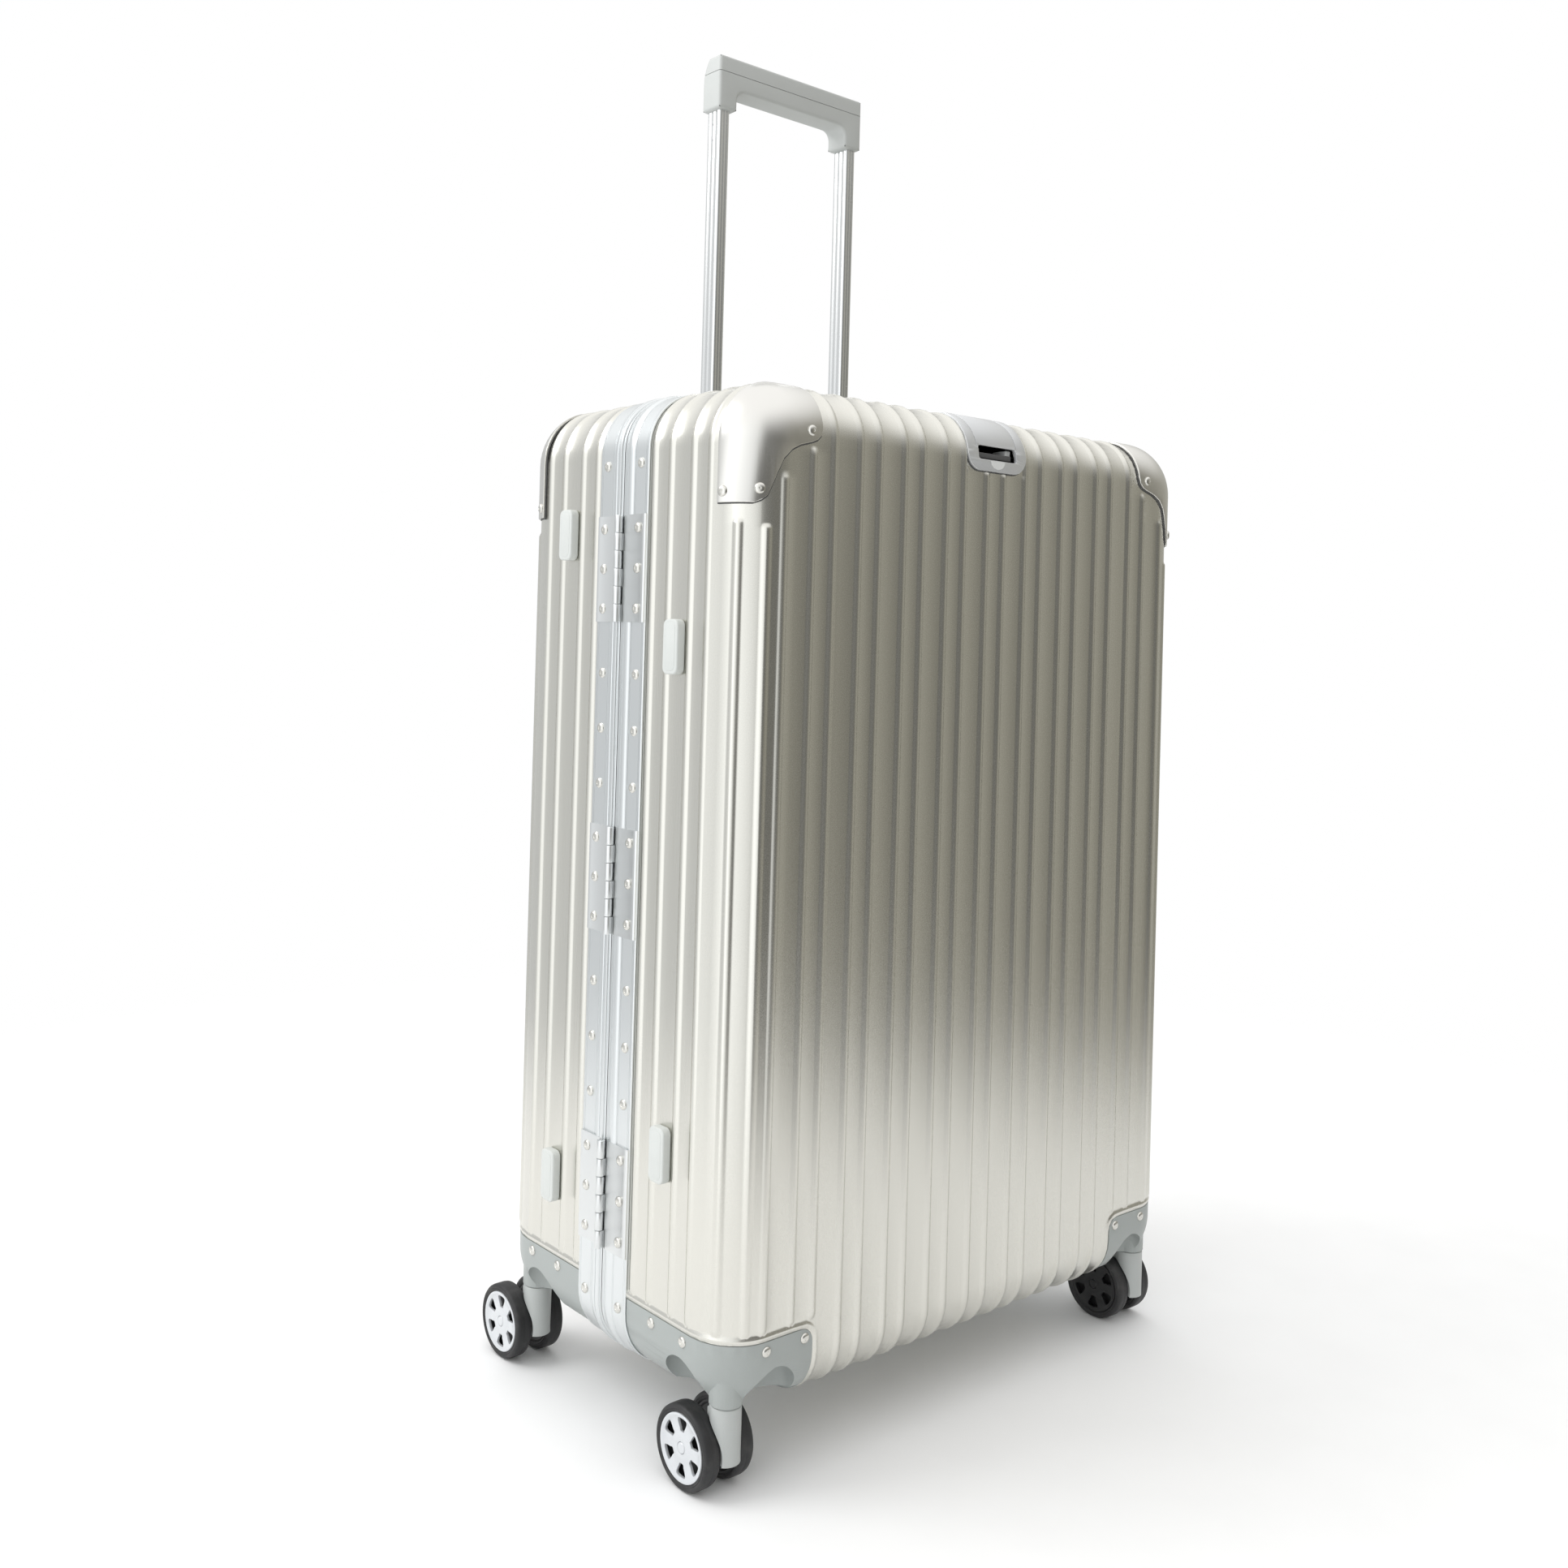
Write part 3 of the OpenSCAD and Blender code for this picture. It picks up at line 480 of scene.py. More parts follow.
class Palette(Enum):
    """Every finish of the case, by what it is used on."""

    SHEET = BrushedSheet("champagne_sheet", (0.70, 0.69, 0.64), 0.27, 1.0)
    GUARD = BrushedSheet("satin_guard", (0.72, 0.71, 0.68), 0.26, 1.0, depth=0.000003, uv=False)
    EXTRUSION = BrushedSheet("bright_extrusion", (0.74, 0.765, 0.77), 0.3, 1.0, grain=2200.0, uv=False)
    HINGE = BrushedSheet("rolled_hinge_plate", (0.72, 0.735, 0.735), 0.3, 1.0, uv=False)
    RIVET = Finish("drawn_rivet", (0.68, 0.67, 0.63), 0.24, 1.0)
    STEEL = Finish("turned_steel", (0.55, 0.55, 0.56), 0.25, 1.0)
    HOUSING = MouldedPlastic("grey_housing", (0.36, 0.385, 0.375), 0.42, coat=0.1)
    FORK = MouldedPlastic("grey_fork", (0.45, 0.47, 0.46), 0.4, coat=0.12)
    FOOT = MouldedPlastic("pale_foot", (0.62, 0.64, 0.62), 0.5)
    GRIP = MouldedPlastic("pale_grip", (0.56, 0.575, 0.56), 0.5, pebble=1900.0)
    FITTING = MouldedPlastic("grey_fitting", (0.42, 0.44, 0.42), 0.5)
    HOLDER = MouldedPlastic("silver_holder", (0.68, 0.69, 0.7), 0.34, metallic=0.5, coat=0.15, depth=0.00001)
    PALE_INSERT = MouldedPlastic("pale_insert", (0.75, 0.76, 0.75), 0.45)
    # Near-black finish of the real dark parts; it also paints shade in the bands round the corner caps and
    # the bag holder, in the grip's seam and in the lock's keyway.
    DARK = MouldedPlastic("dark_plastic", (0.02, 0.02, 0.02), 0.5)
    POLE = BrushedSheet("anodised_pole", (0.78, 0.79, 0.79), 0.27, 1.0, grain=2600.0, uv=False)
    LATCH = BrushedSheet("satin_latch", (0.74, 0.74, 0.73), 0.24, 1.0, uv=False)
    TYRE = Rubber("black_tyre", (0.018, 0.018, 0.019), 0.55)
    WEB_PLASTIC = MouldedPlastic("black_wheel_web", (0.012, 0.012, 0.013), 0.45)
    RIM = MouldedPlastic("silver_rim", (0.66, 0.68, 0.7), 0.32, metallic=0.2, coat=0.3, depth=0.00001)
    SEAL = Rubber("black_seal", (0.02, 0.02, 0.02), 0.6)
    LINING = QuiltedLining("quilted_lining", (0.085, 0.088, 0.1), 0.75, sheen=0.3)
    BINDING = Webbing("binding_tape", (0.03, 0.03, 0.034), 0.7, sheen=0.3)
    STRAP = Webbing("strap_webbing", (0.045, 0.048, 0.055), 0.65, sheen=0.3)
    NET = NetCloth("divider_net", (0.07, 0.072, 0.082), 0.8, sheen=0.2)

    @property
    def material(self) -> bpy.types.Material:
        """The Blender material of this finish."""
        return self.value.build()


# ---- mesh tools ----


def mm(*points: Point) -> Outline:
    """Points given in millimetres, in metres."""
    return [tuple(number * MM for number in point) for point in points]


def add_to_scene(thing: Piece) -> None:
    """Adds an object to the scene."""
    bpy.context.scene.collection.objects.link(thing)


def duplicate(piece: Piece) -> Piece:
    """Copies a piece with its own mesh."""
    twin = piece.copy()
    twin.data = piece.data.copy()
    add_to_scene(twin)
    return twin


def new_object(name: str, vertices: Sequence[Point], faces: Sequence[Sequence[int]],
               finish: Palette | None = None) -> Piece:
    """Makes a mesh object at the origin.

    Args:
        name: Name of the object.
        vertices: Corner points in metres.
        faces: Corner indexes of each face.
        finish: Finish of the whole piece.

    Returns:
        The linked object.
    """
    mesh = bpy.data.meshes.new(name)
    mesh.from_pydata([tuple(v) for v in vertices], [], [tuple(f) for f in faces])
    mesh.update()
    piece = bpy.data.objects.new(name, mesh)
    add_to_scene(piece)
    if finish:
        mesh.materials.append(finish.material)
    return piece


def edit(piece: Piece, change: Callable[[bmesh.types.BMesh], None]) -> Piece:
    """Runs a change on a piece's mesh and returns the piece."""
    mesh = bmesh.new()
    mesh.from_mesh(piece.data)
    change(mesh)
    mesh.to_mesh(piece.data)
    mesh.free()
    piece.data.update()
    return piece


def face_outwards(piece: Piece) -> Piece:
    """Merges doubles and turns a closed piece's faces outwards."""
    def change(mesh: bmesh.types.BMesh) -> None:
        """Merges and recalculates."""
        bmesh.ops.remove_doubles(mesh, verts=mesh.verts, dist=1e-6)
        bmesh.ops.recalc_face_normals(mesh, faces=mesh.faces)
    return edit(piece, change)


def bake(piece: Piece) -> Piece:
    """Turns the piece's modifiers into plain mesh."""
    evaluated = piece.evaluated_get(bpy.context.evaluated_depsgraph_get())
    mesh = bpy.data.meshes.new_from_object(evaluated)
    old = piece.data
    piece.modifiers.clear()
    piece.data = mesh
    bpy.data.meshes.remove(old)
    return piece


def modify(piece: Piece, kind: str, **settings: object) -> Piece:
    """Adds one modifier and bakes it.

    Args:
        piece: The piece.
        kind: The modifier's type.
        settings: Its properties.

    Returns:
        The same piece.
    """
    modifier = piece.modifiers.new(kind.lower(), kind)
    for name, setting in settings.items():
        setattr(modifier, name, setting)
    return bake(piece)


def soften(piece: Piece, width: float = 0.0006, segments: int = 2, angle: float = 32) -> Piece:
    """Rounds a piece's edges and smooths its shading.

    Args:
        piece: The piece.
        width: Width of the rounding.
        segments: Steps across the rounding.
        angle: Least edge angle that is rounded, in degrees.

    Returns:
        The same piece.
    """
    limit = math.radians(angle)
    modify(piece, "BEVEL", width=width, segments=segments, limit_method="ANGLE", angle_limit=limit)
    return smooth(piece)


def smooth(piece: Piece, angle: float = 38) -> Piece:
    """Shades a piece smooth apart from edges sharper than the angle in degrees."""
    piece.data.shade_smooth()
    piece.data.set_sharp_from_angle(angle=math.radians(angle))
    return piece


def carve(piece: Piece, tool: Piece, operation: str = "DIFFERENCE") -> Piece:
    """Applies a boolean with a tool, which is then removed."""
    modify(piece, "BOOLEAN", operation=operation, object=tool, solver="EXACT")
    bpy.data.objects.remove(tool)
    return piece


def join(name: str, pieces: Sequence[Piece]) -> Piece:
    """Joins pieces into one object, keeping each one's finish.

    Args:
        name: Name of the joined piece.
        pieces: The pieces, which are removed.

    Returns:
        The joined object.
    """
    slots: list[bpy.types.Material] = []
    whole = bmesh.new()
    for piece in pieces:
        for material in piece.data.materials:
            if material not in slots:
                slots.append(material)
        shift = [slots.index(material) for material in piece.data.materials]
        first = len(whole.faces)
        whole.from_mesh(piece.data)
        whole.faces.ensure_lookup_table()
        for face in whole.faces[first:]:
            face.material_index = shift[face.material_index] if shift else 0
    mesh = bpy.data.meshes.new(name)
    whole.to_mesh(mesh)
    whole.free()
    for material in slots:
        mesh.materials.append(material)
    for piece in pieces:
        bpy.data.objects.remove(piece)
    joined = bpy.data.objects.new(name, mesh)
    add_to_scene(joined)
    return joined


def moved(piece: Piece, matrix: Matrix) -> Piece:
    """Applies a place to the mesh itself, turning faces back if it mirrors."""
    piece.data.transform(matrix)
    if matrix.determinant() < 0:
        piece.data.flip_normals()
    return piece


def rounded_outline(width: float, height: float, radius: float, steps: int = 6) -> Outline:
    """Outline of a rounded rectangle about the origin, counter-clockwise.

    Args:
        width: Full width.
        height: Full height.
        radius: Corner radius.
        steps: Steps round each corner.

    Returns:
        The outline's points.
    """
    points = []
    for quarter, (sx, sy) in enumerate(((1, 1), (-1, 1), (-1, -1), (1, -1))):
        for step in range(steps + 1):
            angle = (quarter + step / steps) * math.pi / 2
            points.append((sx * (width / 2 - radius) + radius * math.cos(angle),
                           sy * (height / 2 - radius) + radius * math.sin(angle)))
    return points


def prism(name: str, outline: Outline, low: float, high: float,
          matrix: Matrix, finish: Palette) -> Piece:
    """Extrudes an outline and places it.

    Args:
        name: Name of the piece.
        outline: Points in the local XY plane, counter-clockwise.
        low: Start of the extrusion along local Z.
        high: End of the extrusion.
        matrix: Place of the local frame.
        finish: Finish of the piece.

    Returns:
        The piece.
    """
    count = len(outline)
    vertices = [(x, y, z) for z in (low, high) for x, y in outline]
    sides = [(i, (i + 1) % count, count + (i + 1) % count, count + i) for i in range(count)]
    faces = [tuple(reversed(range(count))), tuple(range(count, 2 * count)), *sides]
    return moved(new_object(name, vertices, faces, finish), matrix)


def lathe(name: str, profile: Outline, matrix: Matrix, finish: Palette,
          segments: int = 64, closed: bool = False) -> Piece:
    """Turns a profile about local Z.

    Args:
        name: Name of the piece.
        profile: Radius and height pairs; an open one starts and ends on the axis or is capped.
        matrix: Place of the local frame.
        finish: Finish of the piece.
        segments: Steps round the axis.
        closed: Whether the profile is a closed loop, as on a ring.

    Returns:
        The piece.
    """
    rows = len(profile)
    vertices = [(r * math.cos(2 * math.pi * i / segments), r * math.sin(2 * math.pi * i / segments), z)
                for r, z in profile for i in range(segments)]
    faces = [(a * segments + i, a * segments + (i + 1) % segments,
              b * segments + (i + 1) % segments, b * segments + i)
             for a, b in zip(range(rows), [*range(1, rows), 0][:rows if closed else rows - 1])
             for i in range(segments)]
    if not closed:
        faces.append(tuple(reversed(range(segments))))
        faces.append(tuple(range((rows - 1) * segments, rows * segments)))
    piece = face_outwards(new_object(name, vertices, faces, finish))
    return smooth(moved(piece, matrix))


def along_x(x: float = 0.0, y: float = 0.0, z: float = 0.0) -> Matrix:
    """Local frame whose X and Y are the case's Y and Z and whose Z runs along the case's X."""
    turn = Matrix(((0, 0, 1, 0), (1, 0, 0, 0), (0, 1, 0, 0), (0, 0, 0, 1)))
    return Matrix.Translation((x, y, z)) @ turn


def along_y(x: float = 0.0, y: float = 0.0, z: float = 0.0) -> Matrix:
    """Local frame whose X and Y are the case's X and Z and whose Z runs along -Y of the case."""
    turn = Matrix(((1, 0, 0, 0), (0, 0, -1, 0), (0, 1, 0, 0), (0, 0, 0, 1)))
    return Matrix.Translation((x, y, z)) @ turn


def along_z(x: float = 0.0, y: float = 0.0, z: float = 0.0) -> Matrix:
    """Local frame that is only shifted."""
    return Matrix.Translation((x, y, z))


def place(piece: Piece, body: str, slot: str, *nodes: str) -> Piece:
    """Puts a finished piece on its body in place of CAD nodes.

    Args:
        piece: The piece.
        body: The CAD body it rides on.
        slot: The record's material slot; not used.
        nodes: The CAD nodes it stands for.

    Returns:
        The same piece.
    """
    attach(piece, body)
    if nodes:
        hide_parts(*nodes)
    LOG.info("%s rides on %s with %d faces", piece.name, body, len(piece.data.polygons))
    return piece


def grid_faces(rows: int, columns: int, first: int = 0) -> list[tuple[int, int, int, int]]:
    """Quads of a grid of vertices that is stored row by row."""
    return [(first + r * columns + c, first + r * columns + c + 1,
             first + (r + 1) * columns + c + 1, first + (r + 1) * columns + c)
            for r in range(rows - 1) for c in range(columns - 1)]


# ---- the form of the case ----


@dataclass(frozen=True)
class CaseForm:
    """Rounded box of one half, in that half's own Y out of the parting plane."""

    half_width: float = 255 * MM
    half_height: float = 365 * MM
    middle: float = 419 * MM
    depth: float = 145 * MM
    corner: float = 45 * MM
    edge: float = 38 * MM

    @property
    def top(self) -> float:
        """Height of the body's top above the floor."""
        return self.middle + self.half_height

    @property
    def bottom(self) -> float:
        """Height of the body's underside above the floor."""
        return self.middle - self.half_height

    def outline(self, out: float, steps: int = 12) -> Outline:
        """Front outline moved outwards.

        Args:
            out: How far it is moved out.
            steps: Steps round each corner.

        Returns:
            X and Z of its points.
        """
        flat = rounded_outline(2 * (self.half_width + out), 2 * (self.half_height + out), self.corner + out,
                               steps)
        return [(x, z + self.middle) for x, z in flat]

    def ring(self, name: str, profile: Outline, finish: Palette,
             closed: bool = True) -> Piece:
        """Sweeps a profile round the outline.

        Args:
            name: Name of the piece.
            profile: How far out and how far from the parting plane each point is.
            finish: Finish of the piece.
            closed: Whether the profile is a loop; an open one is capped at both ends.

        Returns:
            The piece in the half's own frame.
        """
        stations = [self.outline(out) for out, _ in profile]
        count, rows = len(stations[0]), len(profile)
        vertices = [(x, y, z) for line, (_, y) in zip(stations, profile) for x, z in line]
        faces = [(a * count + i, a * count + (i + 1) % count, b * count + (i + 1) % count, b * count + i)
                 for a in range(rows if closed else rows - 1) for b in [(a + 1) % rows] for i in range(count)]
        if not closed:
            faces += [tuple(range(count)), tuple(range((rows - 1) * count, rows * count))]
        return face_outwards(new_object(name, vertices, faces, finish))

    def solid(self, name: str, inset: float, near: float, finish: Palette, steps: int = 10) -> Piece:
        """Closed solid of one half.

        Args:
            name: Name of the piece.
            inset: How far its faces lie inside the body's.
            near: Where it starts, from the parting plane.
            finish: Finish of the piece.
            steps: Steps round the edge of the panel.

        Returns:
            The piece in the half's own frame.
        """
        radius, centre = self.edge - inset, self.depth - self.edge
        turns = [math.pi / 2 * step / steps for step in range(steps + 1)]
        profile = [(-inset, near)] + [
            (-inset - radius * (1 - math.cos(t)), centre + radius * math.sin(t)) for t in turns]
        return self.ring(name, profile, finish, closed=False)


FORM = CaseForm()


def half_place(half: Half) -> Matrix:
    """Turns a half's own frame into the case's frame."""
    return Matrix.Translation((0, PARTING_Y, 0)) @ Matrix.Diagonal((1, half.value, 1, 1))


# ---- geometry node trees ----


def geometry_tree(name: str, inputs: Sequence[tuple[str, str]]) -> tuple[Graph, bpy.types.Node]:
    """Starts a geometry tree.

    Args:
        name: Name of the tree.
        inputs: Name and socket type of each input after the geometry.

    Returns:
        The graph and its input node.
    """
    tree = bpy.data.node_groups.new(name, "GeometryNodeTree")
    for word, kind in [("Geometry", "NodeSocketGeometry"), *inputs]:
        tree.interface.new_socket(word, in_out="INPUT", socket_type=kind)
    tree.interface.new_socket("Geometry", in_out="OUTPUT", socket_type="NodeSocketGeometry")
    graph = Graph(tree)
    return graph, graph.node("NodeGroupInput")


def finish_tree(graph: Graph, given: bpy.types.Node, geometry: Socket) -> bpy.types.NodeTree:
    """Ends a geometry tree with realised instances and their material."""
    real = graph.node("GeometryNodeRealizeInstances", None, {0: geometry})
    dressed = graph.node("GeometryNodeSetMaterial", None,
                         {0: real.outputs[0], "Material": given.outputs["Material"]})
    graph.node("NodeGroupOutput", None, {0: dressed.outputs[0]})
    return graph.tree


def apply_tree(piece: Piece, tree: bpy.types.NodeTree, **inputs: object) -> Piece:
    """Runs a geometry tree over a piece and keeps the plain mesh.

    Args:
        piece: The piece.
        tree: The geometry tree.
        inputs: Values by input name, with underscores for spaces.

    Returns:
        The same piece.
    """
    modifier = piece.modifiers.new(tree.name, "NODES")
    modifier.node_group = tree
    for item in tree.interface.items_tree:
        word = item.name.replace(" ", "_")
        if item.item_type == "SOCKET" and item.in_out == "INPUT" and word in inputs:
            modifier[item.identifier] = inputs[word]
    return bake(piece)


def bead_tree() -> bpy.types.NodeTree:
    """Tree that presses beads and a cut-out's lip into a sheet along its normals."""
    name = "pressed_beads"
    if name in bpy.data.node_groups:
        return bpy.data.node_groups[name]
    numbers = ("Bead Height", "Crown", "Foot", "Lip Height", "Lip Reach")
    graph, given = geometry_tree(name, [(word, "NodeSocketFloat") for word in numbers]
                                 + [("Material", "NodeSocketMaterial")])
    size = {word: Value(graph, given.outputs[word]) for word in numbers}
    read = {"data_type": "FLOAT"}
    bead = Value(graph, graph.node("GeometryNodeInputNamedAttribute", read,
                                   {"Name": "bead_distance"}).outputs[0])
    lip = Value(graph, graph.node("GeometryNodeInputNamedAttribute", read,
                                  {"Name": "lip_distance"}).outputs[0])
    flank = {0: bead, 1: size["Crown"], 2: size["Foot"], 3: 1.0, 4: 0.0}
    raised = Value(graph, graph.node("ShaderNodeMapRange", None, flank).outputs[0]) * size["Bead Height"]
    middle = (lip - size["Lip Reach"] * 0.5).absolute()
    border = middle.smooth(0.0, size["Lip Reach"] * 0.5, 1.0, 0.0) * size["Lip Height"]
    height = raised.math("MAXIMUM", border)
    normal = graph.node("GeometryNodeInputNormal").outputs[0]
    offset = graph.node("ShaderNodeVectorMath", {"operation": "SCALE"}, {0: normal, "Scale": height})
    moved_mesh = graph.node("GeometryNodeSetPosition", None,
                            {0: given.outputs[0], "Offset": offset.outputs[0]})
    return finish_tree(graph, given, moved_mesh.outputs[0])


def scatter_tree() -> bpy.types.NodeTree:
    """Tree that stands one small piece on every point, along the point's normal."""
    name = "set_on_points"
    if name in bpy.data.node_groups:
        return bpy.data.node_groups[name]
    graph, given = geometry_tree(name, [("Piece", "NodeSocketObject"), ("Spin", "NodeSocketFloat"),
                                        ("Seed", "NodeSocketInt"), ("Material", "NodeSocketMaterial")])
    piece = graph.node("GeometryNodeObjectInfo", None, {"Object": given.outputs["Piece"]})
    facing = graph.node("GeometryNodeInputNamedAttribute", {"data_type": "FLOAT_VECTOR"}, {"Name": "facing"})
    turned = graph.node("FunctionNodeAlignRotationToVector", {"axis": "Z"}, {"Vector": facing.outputs[0]})
    spin = graph.node("FunctionNodeRandomValue", {"data_type": "FLOAT"},
                      {2: 0.0, 3: given.outputs["Spin"], "Seed": given.outputs["Seed"]})
    local = graph.node("ShaderNodeCombineXYZ", None, {2: spin.outputs[1]})
    euler = graph.node("FunctionNodeEulerToRotation", None, {0: local.outputs[0]})
    whole = graph.node("FunctionNodeRotateRotation", {"rotation_space": "LOCAL"},
                       {0: turned.outputs[0], 1: euler.outputs[0]})
    put = graph.node("GeometryNodeInstanceOnPoints", None, {
        "Points": given.outputs[0], "Instance": piece.outputs["Geometry"], "Rotation": whole.outputs[0]})
    return finish_tree(graph, given, put.outputs[0])


def scatter(name: str, points: Sequence[tuple[Point, Point]], seed_piece: Piece,
            finish: Palette, spin: float = 2 * math.pi) -> Piece:
    """Sets copies of a small piece on points.

    Args:
        name: Name of the result.
        points: Place and facing of each copy.
        seed_piece: The small piece, standing on the origin along Z; it is removed.
        finish: Finish of the copies.
        spin: Greatest random turn about the facing.

    Returns:
        The result as one plain mesh.
    """
    piece = new_object(name, [place_ for place_, _ in points], [])
    facing = piece.data.attributes.new("facing", "FLOAT_VECTOR", "POINT")
    facing.data.foreach_set("vector", np.array([way for _, way in points], dtype=np.float32).ravel())
    apply_tree(piece, scatter_tree(), Piece=seed_piece, Spin=spin, Seed=7, Material=finish.material)
    bpy.data.objects.remove(seed_piece)
    return smooth(piece)


# ---- shells ----


@dataclass(frozen=True)
class RibbedShell:
    """One half's pressed sheet with its vertical beads."""

    half: Half
    pitch: float = 46.2 * MM
    pair: float = 20.1 * MM
    height: float = 1.6 * MM
    crown: float = 0.8 * MM
    foot: float = 4.1 * MM
    sheet: float = 1.2 * MM
    rim: float = 12 * MM
    cut_x: float = 173 * MM
    cut_z: float = 110 * MM
    cut_y: float = 31 * MM
    bend_degrees: tuple[float, ...] = (33, 64, 84)
    bend_tops: tuple[float, ...] = (684 * MM, 681 * MM, 717 * MM)
    side_beads: tuple[float, ...] = (37.5 * MM, 57.6 * MM, 83.9 * MM, 104 * MM)

    @property
    def beads(self) -> list[float]:
        """X of every vertical bead on the panel."""
        return sorted(k * self.pitch + s * self.pair / 2 for k in range(-4, 5) for s in (-1, 1))

    def samples(self, centres: Sequence[float], ends: Sequence[float]) -> np.ndarray:
        """Positions that follow beads closely and the flats loosely.

        Args:
            centres: Middles of the beads.
            ends: Further positions, the first and last of which bound the result.

        Returns:
            Sorted positions.
        """
        steps = np.array([-1.04, -0.92, -0.6, -0.28, -0.12, 0.12, 0.28, 0.6, 0.92, 1.04]) * self.foot
        values = sorted({round(v, 6) for c in centres for v in c + steps} | {round(e, 6) for e in ends})
        low, high = min(ends), max(ends)
        return np.array([v for v in values if low <= v <= high])

    def panel_path(self, heights: np.ndarray, band: np.ndarray) -> Outline:
        """Path over the top, down the panel and under the bottom.

        Args:
            heights: Z of the rows between the outline's corners.
            band: Y of the rows on the narrow sides.

        Returns:
            Y and Z of each row.
        """
        f = FORM
        bend = [math.pi / 2 * i / 9 for i in range(1, 9)]
        centre, up, down = f.depth - f.edge, f.top - f.edge, f.bottom + f.edge
        rows = [(y, f.top) for y in band]
        rows += [(centre + f.edge * math.sin(a), up + f.edge * math.cos(a)) for a in bend]
        rows += [(f.depth, up)] + [(f.depth, z) for z in heights[::-1]] + [(f.depth, down)]
        rows += [(centre + f.edge * math.sin(a), down - f.edge * math.cos(a)) for a in bend[::-1]]
        rows += [(y, f.bottom) for y in band[::-1]]
        return rows

    def side_across(self, turns: np.ndarray, band: np.ndarray) -> list[tuple[float, float, float]]:
        """Section from the panel round the bend to the rim.

        Args:
            turns: Angles round the bend from the panel's normal.
            band: Y of the columns on the narrow side.

        Returns:
            Inset from the outline, Y and the bend's angle of each column.
        """
        f = FORM
        centre = f.depth - f.edge
        columns = [(f.corner, f.depth, 0.0), (f.edge, f.depth, 0.0)]
        columns += [(f.edge * (1 - math.sin(t)), centre + f.edge * math.cos(t), t) for t in turns]
        return columns + [(0.0, y, math.pi / 2) for y in band[::-1]]

    def build(self) -> Piece:
        """Makes the sheet with its beads, lips and cut-outs.

        Returns:
            The shell in the case's frame.
        """
        f = FORM
        low, high = f.bottom + f.corner, f.top - f.corner
        near = [z + d * MM for z in (734 * MM, 717 * MM, 684 * MM, 681 * MM)
                for d in (-6, -4, -2.5, 0, 2.5, 4, 5)]
        heights = self.samples([], [low, high, *[z for z in near if z < high], *np.linspace(low, high, 14),
                                    *[self.cut_z + d * MM for d in (-6, -2, 0, 1, 2, 3, 4, 5, 6.5, 8, 10)]])
        band = self.samples(self.side_beads, [self.rim, self.cut_y, f.depth - f.edge])
        lips = [s * (self.cut_x - d * MM) for s in (-1, 1) for d in (0, 1, 2, 3, 4, 5, 6.5)]
        across = self.samples(self.beads, [-f.half_width + f.corner, f.half_width - f.corner, 0, *lips])
        bends = [90 - a for a in self.bend_degrees]
        degrees = math.degrees(1 / f.edge)
        turns = [math.radians(v) for v in self.samples([], [
            0.4, 89.6, 18, 42, 75, *[b + s * d * MM * degrees for b in bends for s in (-1, 1)
                                     for d in (0, 1.4, 2.4, 3.2, 4.0, 4.8)]]) if 0.3 < v < 89.7]
        points, faces = self.panel_grid(across, self.panel_path(heights, band))
        for side in Side:
            more, quads = self.side_grid(side, np.array(turns), heights, band)
            faces += [tuple(i + len(points) for i in quad) for quad in quads]
            points += more
        name = f"{self.half.word}_ribbed_sheet"
        piece = new_object(name, [p[:3] for p in points], faces, Palette.SHEET)
        self.store(piece, points)
        face_outwards(piece)
        if sum(face.normal.y * face.area for face in piece.data.polygons) < 0:
            piece.data.flip_normals()
        apply_tree(piece, bead_tree(), Bead_Height=self.height, Crown=self.crown, Foot=self.foot,
                   Lip_Height=1.1 * MM, Lip_Reach=6 * MM, Material=Palette.SHEET.material)
        modify(piece, "SOLIDIFY", thickness=self.sheet, offset=-1.0)
        for side in Side:
            carve(piece, self.cutout(side))
        self.make_room(piece)
        return smooth(moved(piece, half_place(self.half)), 50)

    def panel_grid(self, across: np.ndarray, path: list) -> tuple[list, list]:
        """Grid over the top, the panel and the bottom."""
        length = np.cumsum([0.0] + [math.dist(a, b) for a, b in zip(path, path[1:])])
        points = [(x, y, z, self.panel_bead(x, y, z), self.lip(x, y, z), x, s)
                  for (y, z), s in zip(path, length) for x in across]
        return points, grid_faces(len(path), len(across))

    def side_grid(self, side: Side, turns: np.ndarray, heights: np.ndarray,
                  band: np.ndarray) -> tuple[list, list]:
        """Grid over one narrow side, the bend beside it and the two corners."""
        f = FORM
        columns = self.side_across(turns, band)
        quarter = [math.pi / 2 * i / 12 for i in range(13)]
        rows = [(f.half_width - f.corner, f.top - f.corner, a) for a in quarter[::-1]]
        rows += [(f.half_width - f.corner, z, 0.0) for z in heights[::-1][1:-1]]
        rows += [(f.half_width - f.corner, f.bottom + f.corner, -a) for a in quarter]
        points = []
        for cx, cz, angle in rows:
            for inset, y, turn in columns:
                reach = f.corner - inset
                x, z = cx + reach * math.cos(angle), cz + reach * math.sin(angle)
                bead = self.side_bead(y, z, turn) if y < f.depth - f.edge or abs(angle) < 1e-6 else 1.0
                points.append((side.value * x, y, z, bead, self.lip(x, y, z), x + y, z))
        return points, grid_faces(len(rows), len(columns))

